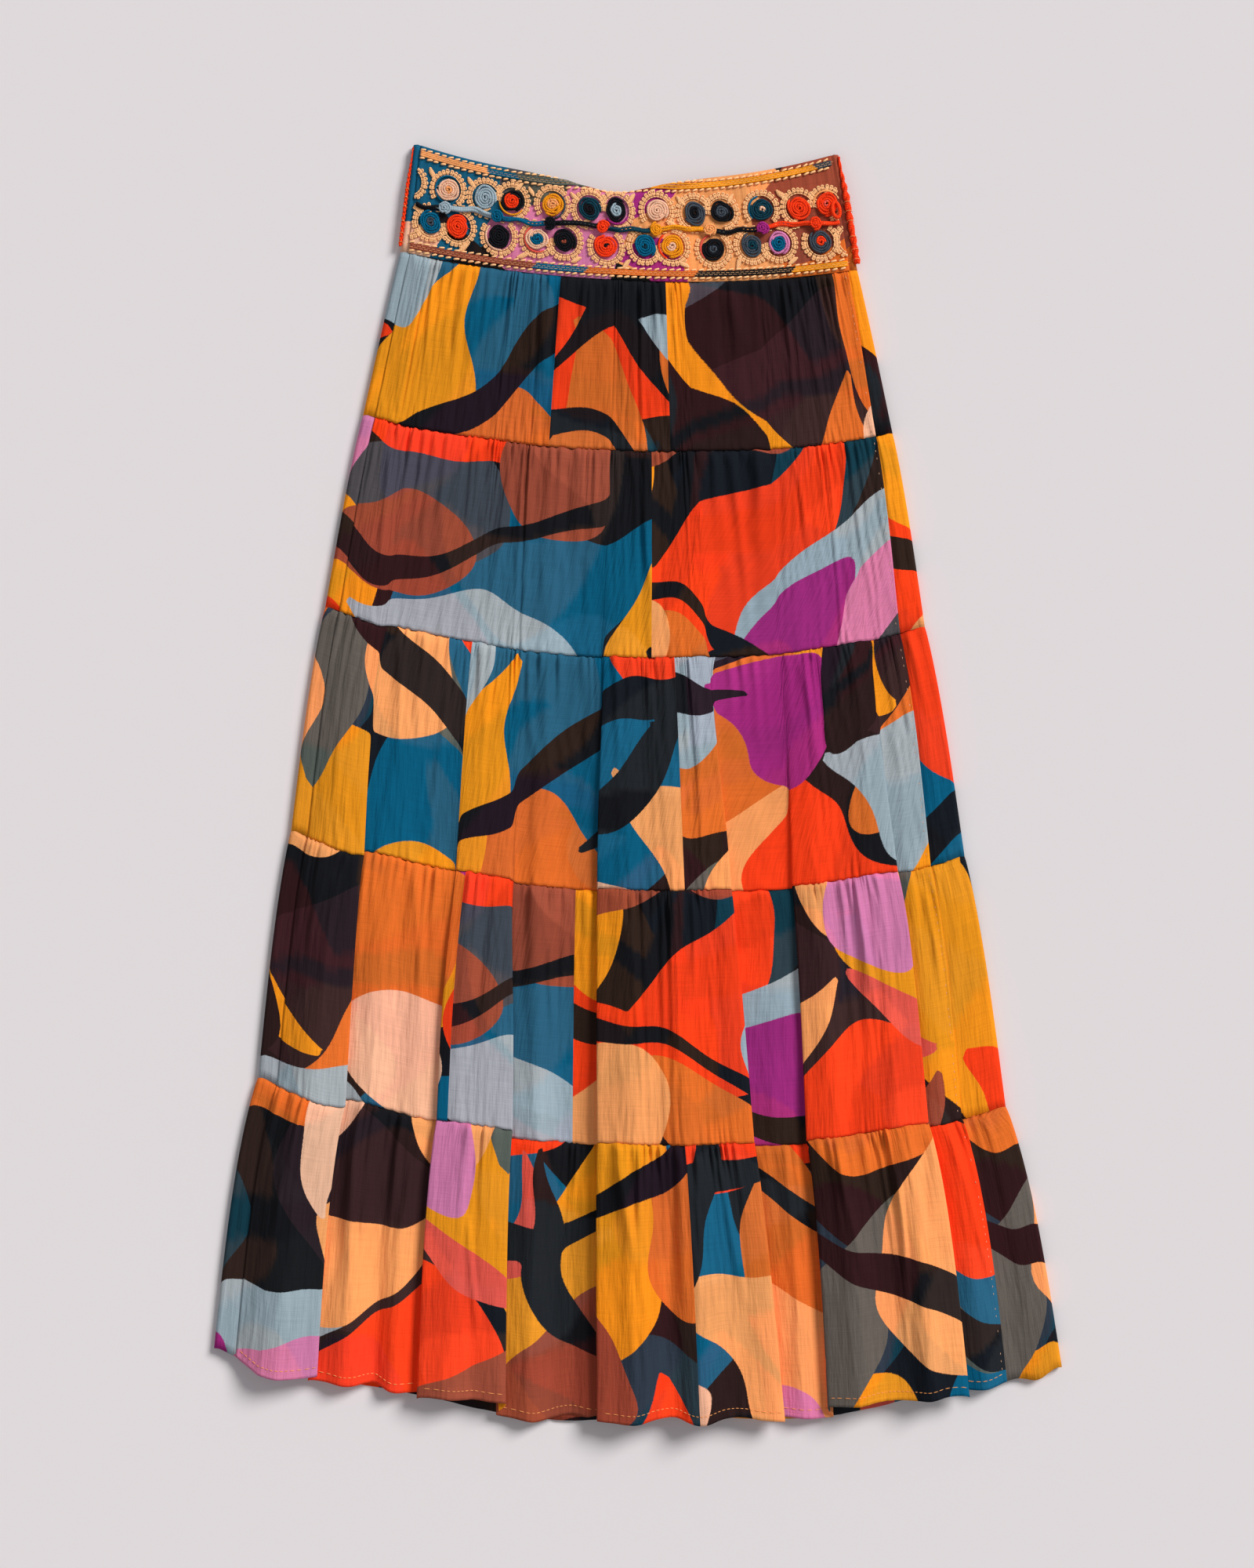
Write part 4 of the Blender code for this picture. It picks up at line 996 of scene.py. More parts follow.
def vine_tubes():
    """Two soft plies side by side that roll a little, with running stitches between them and
    beside them, and a loop of the same cord that stands at the right end."""
    share = np.linspace(*VINE_ENDS, VINE_POINTS)
    length = share * BAND_SPAN
    way = (share - FIRST_CLUSTER) / CLUSTER_PITCH + 1.0
    which = np.clip(way, 0, len(VINE_COLOURS) - 1).astype(int)
    palette = np.array([linear_colour(c) for c in VINE_COLOURS])
    colours = palette[which] * (1.0 + 0.12 * wander(share, 5, 20, 60))[:, None]
    ply_radius = VINE_PLY * (1.0 + 0.16 * (which == 1))
    middle = vine_up(share) + VINE_WANDER * wander(share, 8, 5, 13) * np.sin(math.pi * way) ** 2
    tubes = []
    for ply in (0.0, math.pi):
        turn = 0.75 * turned(length / VINE_ROLL) + 0.3 * wander(share, 9, 8, 20) + ply
        line = band_line(share, middle + 0.62 * ply_radius * np.cos(turn),
                         ON_FACE + ply_radius * (1.1 + 0.55 * np.sin(turn)))
        tubes.append(make_tube(line, ply_radius, colours))
    lean = np.arctan2(middle[4:] - middle[:-4], 4 * (length[1] - length[0]))
    for n in range(8, VINE_POINTS - 8, 4):
        colour = ("olive", "peach", "slate", "peach")[n // 36 % 4]
        lift = ON_FACE + 1.95 * VINE_PLY
        tubes.append(bar(share[n], middle[n], lean[n - 2], *BETWEEN_PLIES, lift, colour, n))
    for n in range(14, VINE_POINTS - 40, 8):
        side = -1.0 if math.sin(0.09 * n) > -0.2 else 1.0
        up = middle[n] + side * 2.35 * VINE_PLY
        tubes.append(bar(share[n], up, lean[n - 2], *BESIDE_PLIES, 0.0005, "apricot", n))
    turn = np.linspace(-0.12, 2.12, 40) * math.pi
    s = LOOP_FOOT[0] + LOOP_HALF[0] * np.sin(turn) / BAND_SPAN
    u = LOOP_FOOT[1] + LOOP_HALF[1] * (1.0 - np.cos(turn))
    line = band_line(s, u, 0.0036 + 0.0008 * np.cos(turn))
    tubes.append(make_tube(line, LOOP_THREAD, shade("poppy", 12, 40)))
    return tubes


# Braids: the colours of the cords, each with the share across at which it starts
UPPER_BRAID = [
    (0.0, "peach"), (0.175, "teal"), (0.245, "olive"), (0.40, "brown"), (0.56, "marigold"), (0.955, "slate"),
]
LOWER_BRAID = [(0.0, "brown"), (0.285, "teal"), (0.40, "rust"), (0.645, "black"), (0.865, "marigold")]
BRAID_CORDS = 3
BRAID_CORE = 0.0043  # width of the cords between the two rows of fat stitches
BRAID_CORD = BRAID_CORE / BRAID_CORDS
BRAID_FIRST, BRAID_LAST = 0.0078, 0.9922
RUNNING_LONG, RUNNING_PITCH = 0.0031, 0.0108
FAT_THREADS, FAT_PITCH, FAT_SHIFT = (0.00092, 0.00086), 0.0166, 0.0014
FAT_LONG, FAT_LEAN = (0.0038, 0.0048), (0.0004, 0.0014)
RUNNING_THREAD = 0.00013


def braid_tubes(up_at, stretches, seed):
    """Parallel cords couched side by side, with running stitches between them and a row of
    fat stitches along each side. up_at turns a place across the braid into a height."""
    share = np.linspace(BRAID_FIRST, BRAID_LAST, 230)
    side = (BRAID_WIDTH - BRAID_CORE) / 2
    tubes = []
    for n in range(BRAID_CORDS):
        shift = 0.004 * n if seed % 2 else -0.004 * n
        colours = np.zeros((len(share), 3))
        for starts, colour in stretches:
            colours[share + shift >= starts] = linear_colour(colour)
        colours = colours * (1.0 + 0.10 * wander(share + shift, seed + n, 10, 50))[:, None]
        lift = ON_FACE + 0.45 * BRAID_CORD + 0.00012 * wander(share, seed + 20 + n, 10, 40)
        line = band_line(share, up_at(share, side + (n + 0.5) * BRAID_CORD), lift)
        tubes.append(make_tube(line, 0.54 * BRAID_CORD, colours, 6, flatten=0.85))
    for n in (1, 2):
        for k, s in enumerate(np.arange(BRAID_FIRST + 0.006, BRAID_LAST - 0.005, RUNNING_PITCH)):
            s = s + RUNNING_PITCH / 2 * (n - 1) + STITCH_REACH * RUNNING_LONG / BAND_SPAN
            line = band_line(s, up_at(s, side + n * BRAID_CORD), ON_FACE + 0.66 * BRAID_CORD)
            tubes.append(stitch(line, RUNNING_THREAD, "apricot", k))
    random = np.random.default_rng(seed)
    for across, thick in zip((-0.0002, BRAID_WIDTH + 0.0002), FAT_THREADS):
        for k, s in enumerate(np.arange(BRAID_FIRST + 0.007, BRAID_LAST - 0.007, FAT_PITCH)):
            s = s + random.uniform(-FAT_SHIFT, FAT_SHIFT)
            s = s + STITCH_REACH * random.uniform(*FAT_LONG) / BAND_SPAN
            lean = STITCH_REACH * random.uniform(*FAT_LEAN)
            line = band_line(s, up_at(s, across) + lean, 0.0004 + STITCH_DIP * thick)
            tubes.append(stitch(line, thick, "apricot", k))
    return tubes


def upper_height(share, across):
    return band_height(share) - BRAID_EDGE - BRAID_WIDTH + across


def lower_height(share, across):
    return BRAID_EDGE + across


WRAPPINGS = (0.42, 0.50, 0.585, 0.72, 0.83, 0.915)  # where threads are wrapped round a side cord
WRAP_OUT, WRAP_RISE, WRAP_THREAD = 1.13, 0.0012, 0.00024
SIDE_PLY_OUT, SIDE_PLY = 0.43, 0.62  # for the cord's radius


def side_line(cord, t, thick):
    """The middle of a side cord as thick as this, t of the way from the waist edge down to the
    seam. It lies against the cloth of the side fold."""
    end = 0.0 if cord.side < 0 else 1.0
    reach = SIDE_RADIUS - 0.0003 + thick
    tilt = math.radians(cord.angle + 8)
    x = flat_x(0, end, t) + cord.side * reach * math.cos(tilt)
    z = SIDE_RADIUS + reach * math.sin(tilt)
    return np.stack(np.broadcast_arrays(x, flat_y(0, end, t), z), axis=-1)


def side_cord_tubes(cord):
    """Two plies wound round the side seam's line, with light threads wrapped round both."""
    count = 190
    t = np.linspace(0.015, 0.945, count)
    thick = cord.radius * mix(0.45, 1.0, smooth(3.0 * t - 0.2)) * (1.0 + 0.07 * wander(t, 31, 5, 16))
    line = side_line(cord, t, thick)
    out, up = np.array([cord.side, 0.0, 0.0]), np.array([0.0, 0.0, 1.0])
    tubes = []
    for ply in (0.0, math.pi):
        turn = (2 * math.pi * cord.turns * t + ply)[:, None]
        spin = np.cos(turn) * out + np.sin(turn) * up
        points = line + SIDE_PLY_OUT * thick[:, None] * spin
        tubes.append(make_tube((points, spin), SIDE_PLY * thick, shade("poppy", 40 + int(ply), count)))
    for n, at in enumerate(WRAPPINGS):
        angle = np.linspace(0, 2 * math.pi, 12)[:, None]
        spin = np.cos(angle) * out + np.sin(angle) * up
        points = side_line(cord, np.array([at]), cord.radius) + WRAP_OUT * cord.radius * spin
        points = points + np.array([0, WRAP_RISE, 0]) * np.sin(angle)
        tubes.append(make_tube((points, spin), WRAP_THREAD, shade("peach", n, 12), 5))
    return tubes


# Stitches on the tiers

def cloth_line(tier, share, t, lift):
    """Points off the outer face of a tier's shell, and the way out there."""
    small = 2e-4
    across = front_points(tier, share + small, t) - front_points(tier, share - small, t)
    down = front_points(tier, share, t - small) - front_points(tier, share, t + small)
    normal = unit(np.cross(across, down))
    normal = np.where(normal[:, 2:] < 0, -normal, normal)
    return front_points(tier, share, t) + normal * (SHELL / 2 + lift), normal


HEM_STITCH_UP, HEM_ENDS = 0.0072, (0.004, 0.006)
HEM_LONG, HEM_GAP = (0.0024, 0.0034), (0.0004, 0.0008)
HEM_THREAD, SEAM_THREAD = 0.00030, 0.00022
STITCH_POINTS = 4
SEAM_PITCH, SEAM_LONG, SEAM_IN = 0.0062, 0.0021, 0.0030
SEAM_PART = 0.62  # the part of the side seam's stitches that shows


def hem_tubes():
    """A running stitch of light thread along the hem, off the cloth that is folded under."""
    t = 1.0 - HEM_STITCH_UP / tier_height(LAST_TIER)
    width = float(front_width(LAST_TIER, t))
    left, right = seam_shares(LAST_TIER, t)
    random = np.random.default_rng(77)
    tubes = []
    share = left + HEM_ENDS[0]
    while share < right - HEM_ENDS[1]:
        long = random.uniform(*HEM_LONG) / width
        if all(abs(share - e.hem) > 0.75 * EDGE_SHARE for e in EDGES if e.lap):
            s = share + np.linspace(0, long, STITCH_POINTS)
            line = cloth_line(LAST_TIER, s, np.full(STITCH_POINTS, t), HEM_THREAD * 0.7)
            tubes.append(stitch(line, HEM_THREAD, "peach", len(tubes)))
        share += long + random.uniform(*HEM_GAP) / width
    return tubes


def seam_stitch_tubes():
    """Light dashes down the right side seam of the tiers."""
    random = np.random.default_rng(78)
    tubes = []
    for tier in TIERS:
        for t in np.arange(0.03, 0.97, SEAM_PITCH / tier_height(tier)):
            if random.random() < SEAM_PART:
                share = seam_shares(tier, t)[1] - SEAM_IN / front_width(tier, t)
                down = t + np.linspace(0, SEAM_LONG, STITCH_POINTS) / tier_height(tier)
                line = cloth_line(tier, np.full(STITCH_POINTS, share), down, 0.0001)
                tubes.append(stitch(line, SEAM_THREAD, "blush", len(tubes)))
    return tubes


# Building the cloth

FRONT_SPACING, ROW_SPACING = 0.0016, 0.0033
BACK_SPACING, BACK_ROW_SPACING = 0.0034, 0.0065
PRINT_FULLNESS, BACK_FULLNESS = 1.12, 1.08  # more cloth across than shows
LENGTH_FULLNESS = 1.02
BAND_COLUMNS, BAND_ROWS = 236, 62
BAND_PUCKER, BAND_WAVE = 0.00030, 0.00055
BACK_RELIEF, BAND_BACK_RELIEF = 0.8, 0.0004
SEAM_LAP = 0.003  # how far the back goes under the front at a side seam


def sheet_width(tier):
    return float(front_width(tier, 1.0)) * PRINT_FULLNESS


def front_fractions(tier):
    """Fractions across a front, evenly spread and closer together on the lapped edges."""
    fine = np.linspace(0.0, 1.0, 4000)
    density = np.ones_like(fine)
    for edge in EDGES:
        density += 1.1 * (edge.lap > 0) * bell((fine - edge.hem) / (1.5 * EDGE_SHARE))
    passed = np.concatenate([[0.0], np.cumsum((density[1:] + density[:-1]) / 2)]) / (len(fine) - 1)
    count = int(passed[-1] * front_width(tier, 1.0) / FRONT_SPACING)
    return np.interp(np.linspace(0.0, passed[-1], count), passed, fine)


def tier_rows(tier):
    """Fractions down a tier, closer together near its seams."""
    even = np.linspace(0.0, 1.0, int(tier_height(tier) / ROW_SPACING))
    return even - 0.075 * turned(even) - 0.05 * np.sin(math.pi * even)


def cloth_run(points):
    """Length along each row of a grid of points, as shares of the whole row."""
    pace = np.linalg.norm(np.diff(points[..., (0, 2)], axis=1), axis=-1)
    run = np.concatenate([np.zeros((len(points), 1)), np.cumsum(pace, axis=1)], axis=1)
    return run / run[:, -1:]


def make_tier_front(tier):
    """The front of a tier from side seam to side seam, with the print running in its cloth."""
    f = front_fractions(tier)
    t = tier_rows(tier)[:, None]
    left, right = seam_shares(tier, t)
    share = left + (right - left) * f[None, :]
    t = np.broadcast_to(t, share.shape)
    turn, drop, height = folds(share, tier + t, front_width(tier, t))
    x = share * front_width(tier, t) + turn
    u = cloth_run(np.stack([x, drop, height], axis=-1)) * sheet_width(tier)
    for edge in EDGES:
        hidden = LAP_JUMP * edge.lap * smooth(2.5 * grown(edge.starts, tier + t))
        u = u + hidden * step((share - edge.hem) / EDGE_SHARE * 4)
    v = (1.0 - t) * tier_height(tier) * LENGTH_FULLNESS
    jumps = [int(np.searchsorted(f, at)) for at in PIECINGS[tier]]
    points = front_points(tier, share, t)
    return make_cloth(f"tier_{tier}_cloth_front", points, u, v, tier, jumps, printed_cotton)


def back_relief(tier, share, t):
    """How far the back is lifted off the floor by its gathers, creases and soft folds."""
    if tier == 0:
        return BAND_BACK_RELIEF * (0.5 + 0.5 * wander(share, 55, 6, 24))
    down = t * tier_height(tier)
    relief = pucker(tier, 1.0 - share, down, back=True) + creases(tier, share, t, back=True)
    relief = relief + BACK_RELIEF * soft_folds(1.0 - share, tier + t)
    relief = relief + BACK_RELIEF * gather_folds(tier, 1.0 - share, down, back=True)
    return relief + crinkle(share, tier + t, 60 + tier)


def back_points(tier, t, columns):
    """The middle of the back's cloth: from the left side seam round the left fold, along the
    floor and round the right fold to the right side seam. The waist edge stays out of sight
    below the rolled edge of the front."""
    seam_left, seam_right = seam_shares(tier, t)
    width = front_width(tier, t)
    inside = SIDE_RADIUS - MIDDLE

    def wrap(share):
        past = np.where(share < 0.5, share - seam_left, seam_right - share) * width
        if tier:
            wrapped = front_points(tier, share, np.broadcast_to(t, share.shape))
        else:
            x = flat_x(tier, share, t)
            wrapped = np.stack([x, flat_y(tier, share, t), np.full_like(x, TOP_LAYER)], axis=-1)
        wrapped[..., 2] -= 1.4 * SHELL * smooth((past + SEAM_LAP) / SEAM_LAP)
        return wrapped

    def fold(share, sign):
        turn = np.linspace(0.5 * math.pi, 1.5 * math.pi, 12)[None, :]
        x = flat_x(tier, share, t) + sign * inside * np.cos(turn)
        z = SIDE_RADIUS + inside * np.sin(turn)
        return np.stack(np.broadcast_arrays(x, flat_y(tier, share, t), z), axis=-1)

    lap = SEAM_LAP / width
    lead = wrap((seam_left + lap) * np.linspace(1.0, 0.0, 9)[None, :-1])
    trail = wrap(1.0 + (seam_right - lap - 1.0) * np.linspace(0.0, 1.0, 15)[None, 1:])
    share = np.linspace(0.0, 1.0, columns)[None, 1:-1] + 0.0 * t
    y = flat_y(tier, share, t)
    if tier == 0:
        y = y - (BACK_BELOW_ROLL + (ROLL_MOST - ROLL_RADIUS) * roll_bell(share)) * (1.0 - t)
    if tier == LAST_TIER:
        longer = 0.35 + 0.65 * turned(3.0 * share + 0.1)
        y = y - BACK_LONGER * longer * smooth(4 * share) * smooth(4 - 4 * share) * t**6
    relief = back_relief(tier, share, np.broadcast_to(t, share.shape))
    relief = np.maximum(relief * smooth(6 * share) * smooth(6 - 6 * share), 0.0)
    floor = np.stack([flat_x(tier, share, t), y, MIDDLE + BACK_MOST * np.tanh(relief / BACK_MOST)], axis=-1)
    return np.concatenate([lead, fold(0.0, 1.0), floor, fold(1.0, -1.0)[:, ::-1], trail], axis=1)


def make_back(tier):
    """The back of a tier or of the waistband, flat on the floor but for its creases."""
    rows = max(int(tier_height(tier) / BACK_ROW_SPACING), 14)
    t = (np.linspace(0, 1, rows) ** 1.15)[:, None]
    points = back_points(tier, t, int(front_width(tier, 1.0) / BACK_SPACING))
    run = cloth_run(points)
    u = -run * sheet_width(tier) * BACK_FULLNESS
    v = (1.0 - np.broadcast_to(t, run.shape)) * tier_height(tier) * LENGTH_FULLNESS
    jumps = [int(run.shape[1] * (1.0 - at)) for at in PIECINGS[tier]]
    name = f"tier_{tier}_cloth_back" if tier else "waistband_cloth_back"
    return make_cloth(name, points, u, v, tier, jumps, printed_cotton if tier else band_cotton)


def make_band_front():
    """The front waistband, rolled over along its edge, drawn in a little by its stitches."""
    rows = np.linspace(0.0, 1.0, BAND_ROWS)[:, None]
    left, right = seam_shares(0, 0.5)
    share = left + (right - left) * np.linspace(0.0, 1.0, BAND_COLUMNS)[None, :] + 0.0 * rows
    up = rows * band_height(share)
    fine = BAND_PUCKER * wander(share, 61, 18, 60) * np.sin(math.pi * rows) ** 0.5
    ends = smooth(5 * rows) * smooth(5 - 5 * rows)
    fine = fine + BAND_WAVE * wander(share + 0.1 * rows, 62, 6, 20) * ends
    points = band_line(share, up, -MIDDLE + fine - 0.0002)[0]
    return make_cloth("waistband_cloth_front", points, share * BAND_SPAN * 1.05, up, 0, [], band_cotton)


# Materials

def add_node(tree, kind, values=None, **settings):
    """A node with its settings, and with a value or a link on each named input."""
    node = tree.nodes.new(kind)
    for key, value in settings.items():
        setattr(node, key, value)
    for key, value in (values or {}).items():
        if isinstance(value, bpy.types.NodeSocket):
            tree.links.new(value, node.inputs[key])
        else:
            node.inputs[key].default_value = value
    return node


def maths(tree, operation, *values, clamp=False):
    node = add_node(tree, "ShaderNodeMath", dict(enumerate(values)), operation=operation, use_clamp=clamp)
    return node.outputs[0]


def scaled_by(tree, value, factor, plus):
    """A value times a factor plus another value."""
    return maths(tree, "MULTIPLY_ADD", value, factor, plus)


def stretched_noise(tree, place, across, along, detail=2.0):
    """Noise in streaks: across and along are the sizes of a streak in metres."""
    scale = (1.0 / across, 1.0 / along, 1.0)
    scaled = add_node(tree, "ShaderNodeVectorMath", {0: place, 1: scale}, operation="MULTIPLY")
    values = {"Vector": scaled.outputs[0], "Scale": 1.0, "Detail": detail, "Roughness": 0.55}
    return add_node(tree, "ShaderNodeTexNoise", values).outputs["Fac"]


def mixed_colour(tree, factor, a, b, blend="MIX"):
    node = add_node(tree, "ShaderNodeMix", data_type="RGBA", blend_type=blend)
    for socket, value in (("Factor_Float", factor), ("A_Color", a), ("B_Color", b)):
        target = next(i for i in node.inputs if i.identifier == socket)
        if isinstance(value, bpy.types.NodeSocket):
            tree.links.new(value, target)
        else:
            target.default_value = value
    return next(o for o in node.outputs if o.identifier == "Result_Color")


def new_group(name, place, setting, value):
    """A node group that reads a place on a piece's map and one setting, and gives a tone and a
    height."""
    group = bpy.data.node_groups.new(name, "ShaderNodeTree")
    group.interface.new_socket(name=place, in_out="INPUT", socket_type="NodeSocketVector")
    made = group.interface.new_socket(name=setting, in_out="INPUT", socket_type="NodeSocketFloat")
    made.default_value = value
    for socket in ("Tone", "Height"):
        group.interface.new_socket(name=socket, in_out="OUTPUT", socket_type="NodeSocketFloat")
    return group, group.nodes.new("NodeGroupInput").outputs, group.nodes.new("NodeGroupOutput").inputs


def make_slub_group():
    """Hand-spun cotton: thick and thin threads both ways as a tone about 1, and the relief of
    its threads and of its fine lengthwise crinkles as a height."""
    group, given, out = new_group("slub_weave", "Cloth", "Slub", 0.5)
    place = given["Cloth"]
    warp = stretched_noise(group, place, 0.0009, 0.030)
    weft = stretched_noise(group, place, 0.034, 0.0009)
    threads = maths(group, "ADD", warp, weft)
    centred = maths(group, "SUBTRACT", threads, 1.0)
    narrow = stretched_noise(group, place, 0.0034, 0.034, 3.0)
    tone = scaled_by(group, centred, given["Slub"], 0.97)
    group.links.new(scaled_by(group, narrow, 0.14, tone), out["Tone"])
    broad = stretched_noise(group, place, 0.0085, 0.055)
    crinkles = scaled_by(group, broad, 1.6, narrow)
    group.links.new(scaled_by(group, threads, 0.12, crinkles), out["Height"])
    return group


def make_twist_groove_shade_group():
    """A twisted cord: painted shade in the grooves between its plies as a tone, and the plies as a height.
    The cord's map gives the length along it and the share of the way round it."""
    group, given, out = new_group("cord_twist_groove_shade", "Along", "Pitch", 0.0012)
    split = add_node(group, "ShaderNodeSeparateXYZ", {0: given["Along"]})
    turns = maths(group, "DIVIDE", split.outputs[0], given["Pitch"])
    phase = maths(group, "ADD", turns, split.outputs[1])
    wave = maths(group, "SINE", maths(group, "MULTIPLY", phase, 2 * math.pi))
    ply = scaled_by(group, wave, 0.5, 0.5)
    fluff = stretched_noise(group, given["Along"], 0.0006, 0.35)
    # painted shade: the tone is darker where the plies dip, in the grooves between them
    tone = scaled_by(group, ply, 0.26, 0.76)
    group.links.new(scaled_by(group, fluff, 0.22, tone), out["Tone"])
    group.links.new(scaled_by(group, fluff, 0.4, ply), out["Height"])
    return group


def new_material(name, rough):
    """A material with its shader's plain values set on the shader itself."""
    material = bpy.data.materials.new(name)
    material.use_nodes = True
    shader = material.node_tree.nodes["Principled BSDF"]
    values = {"Roughness": rough, "Specular IOR Level": 0.12, "Sheen Weight": 0.0, "Sheen Roughness": 0.6}
    for socket, value in values.items():
        shader.inputs[socket].default_value = value
    return material, material.node_tree, shader


def thread_group(tree, group, place, setting, value):
    """The piece's own map, and a group that reads it."""
    along = add_node(tree, "ShaderNodeUVMap", uv_map="cloth").outputs[0]
    return along, add_node(tree, "ShaderNodeGroup", {place: along, setting: value}, node_tree=group)


def finish_surface(tree, shader, colour, tone, height=None, relief=0.0):
    """Gives the shader a colour times a tone, and a bump of a height in metres."""
    grey = add_node(tree, "ShaderNodeCombineColor", {0: tone, 1: tone, 2: tone}).outputs[0]
    tree.links.new(mixed_colour(tree, 1.0, colour, grey, "MULTIPLY"), shader.inputs["Base Color"])
    if height:
        bump = add_node(tree, "ShaderNodeBump", {"Strength": 1.0, "Distance": relief, "Height": height})
        tree.links.new(bump.outputs[0], shader.inputs["Normal"])


INK_EDGE = 0.0005  # over this width one ink gives way to the next
INK_FRAY = 0.0011
# painted shade: the print is painted darker where the layer beneath is dark
PAINTED_SHADE_BENEATH = 0.16  # how much the layer beneath darkens the print


def make_printed_cotton(name, beneath, relief):
    """Thin cotton printed ink over ink, with painted show-through of the layer beneath, painted shade where
    that layer is dark, and random patches of painted shade.
    """
    material, tree, shader = new_material(name, 0.9)
    cloth, slub = thread_group(tree, slub_group, "Cloth", "Slub", 0.34)
    fray = stretched_noise(tree, cloth, 0.0012, 0.0012)
    fray = scaled_by(tree, fray, INK_FRAY, -0.5 * INK_FRAY)
    colour = (*linear_colour("ground"), 1.0)
    for n, ink in enumerate(PRINT):
        if n % INKS_EACH == 0:
            depths = add_node(tree, "ShaderNodeAttribute", attribute_name=f"inks_{n // INKS_EACH}")
            split = add_node(tree, "ShaderNodeSeparateXYZ", {0: depths.outputs["Vector"]})
        depth = maths(tree, "ADD", split.outputs[n % INKS_EACH], fray)
        mask = maths(tree, "MULTIPLY_ADD", depth, 1.0 / INK_EDGE, 0.5, clamp=True)
        colour = mixed_colour(tree, mask, colour, (*linear_colour(ink), 1.0))
    # painted show-through of the layer beneath, then painted shade where that layer is dark
    under = add_node(tree, "ShaderNodeAttribute", attribute_name="beneath").outputs["Color"]
    colour = mixed_colour(tree, beneath, colour, under)
    colour = mixed_colour(tree, PAINTED_SHADE_BENEATH, colour, under, "MULTIPLY")
    object_place = add_node(tree, "ShaderNodeTexCoord").outputs["Object"]
    # painted shade: random patches a little darker or lighter over the cloth
    patchy_shade = scaled_by(tree, stretched_noise(tree, object_place, 0.045, 0.06), 0.22, 0.90)
    tone = maths(tree, "MULTIPLY", slub.outputs["Tone"], patchy_shade)
    finish_surface(tree, shader, colour, tone, slub.outputs["Height"], relief)
    return material


def make_cord_cotton(name, pitch, relief):
    """Twisted cotton cord in the colour of its thread, with painted shade in the grooves between its plies.
    """
    material, tree, shader = new_material(name, 0.85)
    twist = thread_group(tree, twist_groove_shade_group, "Along", "Pitch", pitch)[1]
    thread = add_node(tree, "ShaderNodeAttribute", attribute_name="thread").outputs["Color"]
    finish_surface(tree, shader, thread, twist.outputs["Tone"], twist.outputs["Height"], relief)
    return material


FLOOR_COLOUR = (0.800, 0.755, 0.770)


def make_floor_paper():
    """Plain pale paper with a very slight grain."""
    material, tree, shader = new_material("pale_paper", 0.9)
    place = add_node(tree, "ShaderNodeTexCoord").outputs["Object"]
    tone = scaled_by(tree, stretched_noise(tree, place, 0.02, 0.02), 0.012, 0.994)
    finish_surface(tree, shader, (*FLOOR_COLOUR, 1.0), tone)
    return material


slub_group = make_slub_group()
twist_groove_shade_group = make_twist_groove_shade_group()
printed_cotton = make_printed_cotton("printed_cotton", 0.022, 0.00085)
band_cotton = make_printed_cotton("band_cotton", 0.01, 0.00055)
rosette_cord = make_cord_cotton("rosette_cord_cotton", 0.0013, 0.00016)
braid_cord = make_cord_cotton("braid_cord_cotton", 0.0600, 0.00010)
vine_cord = make_cord_cotton("vine_cord_cotton", 0.0014, 0.00014)
side_cord_cotton = make_cord_cotton("side_cord_cotton", 0.0018, 0.00020)
stitch_thread = make_cord_cotton("stitch_thread_cotton", 0.0010, 0.00008)


# The pieces, each on its solid

def place(piece, slot, *nodes):
    """Puts a piece on the skirt, in the place of the solids that it stands for."""
    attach(piece, "root")
    if nodes:
        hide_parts(*nodes)
    return piece


def place_on_band(name, tubes, material, slot, *nodes):
    """Joins what is sewn on the band into a piece, and puts it on the skirt."""
    place(join_tubes(name, tubes, material), slot, *nodes)


for n in TIERS:
    place(make_tier_front(n), "printed_cloth", f"tier_{n}_front")
    back = place(make_back(n), "printed_cloth", f"tier_{n}_back")
band_front = place(make_band_front(), "band_cloth", "waistband_front")
band_back = place(make_back(0), "band_cloth", "waistband_back")

made = 0
rings = []
for i in range(CLUSTERS):
    cluster = FIRST_CLUSTER + i * CLUSTER_PITCH
    for r in ROSETTES:
        if r.cluster != i % 2:
            continue
        made += 1
        at, up, size = cluster + r.along / BAND_SPAN, VINE_HEIGHT + r.above, r.radius * COIL_SIZE
        coil = Coil(*COILS[made - 1])
        tubes = coil_tubes(at, up, size, ON_FACE, coil, COIL_TURNS, COIL_THREAD, made)
        place_on_band(f"rosette_coil_{made:02d}", tubes, rosette_cord, "rosette_cord", f"rosette_{made:02d}")
        rings += ring_tubes(at, up, size, math.atan2(r.above, r.along), 100 + made)
    coil = Coil(HUB_COLOURS[i], HUB_COLOURS[i], 0.5, None)
    up = float(vine_up(cluster))
    tubes = coil_tubes(cluster, up, HUB_RADIUS, HUB_BASE, coil, HUB_TURNS, HUB_THREAD, 50 + i)
    place_on_band(f"hub_coil_{i + 1}", tubes, rosette_cord, "rosette_cord", f"hub_{i + 1}")
for n, ring in enumerate(EDGE_RINGS):
    rings += ring_tubes(ring.share, ring.up, EDGE_RADIUS, math.radians(ring.towards), 160 + n)
leaves = [tube for n, leaf in enumerate(LEAVES) for tube in leaf_tubes(*leaf, 200 + n)]
upper = braid_tubes(upper_height, UPPER_BRAID, 301)
lower = braid_tubes(lower_height, LOWER_BRAID, 302)
place_on_band("scalloped_edgings", rings, stitch_thread, "rosette_cord")
place_on_band("stitched_leaves", leaves, stitch_thread, "rosette_cord")
place_on_band("vine_plies", vine_tubes(), vine_cord, "vine_cord", "vine_cord")
place_on_band("braid_cords_waist_edge", upper, braid_cord, "braid_cord", "braid_waist_edge")
place_on_band("braid_cords_waist_seam", lower, braid_cord, "braid_cord", "braid_waist_seam")
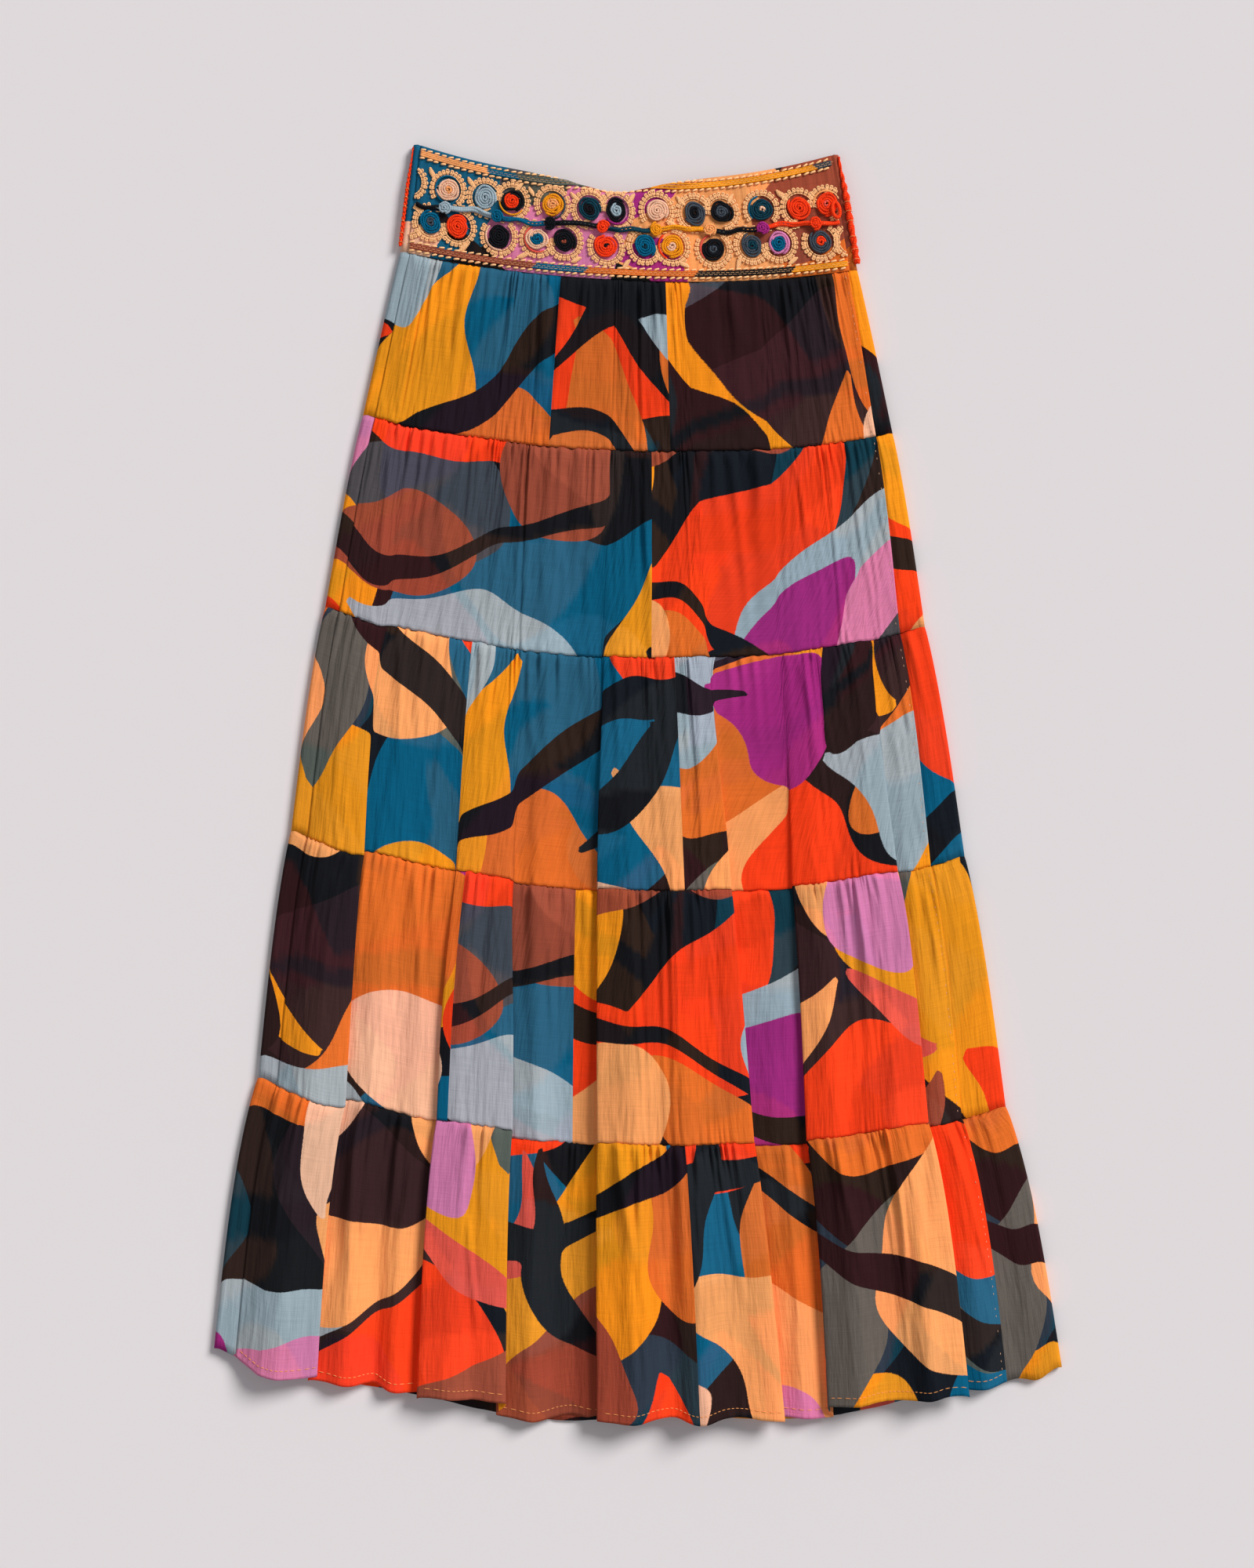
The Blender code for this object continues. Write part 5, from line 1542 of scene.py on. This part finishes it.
for cord in SIDE_CORDS:
    place_on_band(f"{cord.name}_plies", side_cord_tubes(cord), side_cord_cotton, "side_cord", cord.name)

hem_stitches = place(join_tubes("hem_stitches", hem_tubes(), stitch_thread), "printed_cloth")
seam_stitches = place(join_tubes("side_seam_stitches", seam_stitch_tubes(), stitch_thread), "printed_cloth")


# Floor, light and camera

FLOOR_HALF = 4.0
floor_mesh = bpy.data.meshes.new("floor")
corners = [(x * FLOOR_HALF, y * FLOOR_HALF, 0.0) for x, y in ((-1, -1), (1, -1), (1, 1), (-1, 1))]
floor_mesh.from_pydata(corners, [], [(0, 1, 2, 3)])
floor = new_object("floor", floor_mesh, make_floor_paper())


def add_sun(name, azimuth, elevation, softness, strength, colour):
    """An even light over the whole skirt, from a direction in degrees. Its softness is the angle
    that it seems to fill."""
    data = bpy.data.lights.new(name, "SUN")
    data.angle = math.radians(softness)
    data.energy = strength
    data.color = colour
    light = bpy.data.objects.new(name, data)
    light.rotation_euler = (0.0, math.radians(90 - elevation), math.radians(azimuth))
    bpy.context.scene.collection.objects.link(light)


add_sun("key", 42, 37, 24, 3.15, (1.0, 0.99, 0.975))
add_sun("fill", 215, 50, 60, 0.35, (0.96, 0.98, 1.0))
world = bpy.data.worlds.new("studio")
world.use_nodes = True
world.node_tree.nodes["Background"].inputs["Color"].default_value = (0.97, 0.98, 1.0, 1.0)
world.node_tree.nodes["Background"].inputs["Strength"].default_value = 0.24
bpy.context.scene.world = world
bpy.context.scene.view_settings.view_transform = "Standard"

camera_data = bpy.data.cameras.new("camera")
camera_data.lens = LENS
camera_data.sensor_width = SENSOR
camera_data.sensor_fit = "AUTO"
camera = bpy.data.objects.new("camera", camera_data)
camera_high = PHOTO_HEIGHT * PIXEL * LENS / SENSOR
camera.location = (
    (PHOTO_WIDTH / 2 - ORIGIN_PIXEL[0]) * PIXEL,
    (ORIGIN_PIXEL[1] - PHOTO_HEIGHT / 2) * PIXEL,
    camera_high + TOP_LAYER,
)
bpy.context.scene.collection.objects.link(camera)
bpy.context.scene.camera = camera
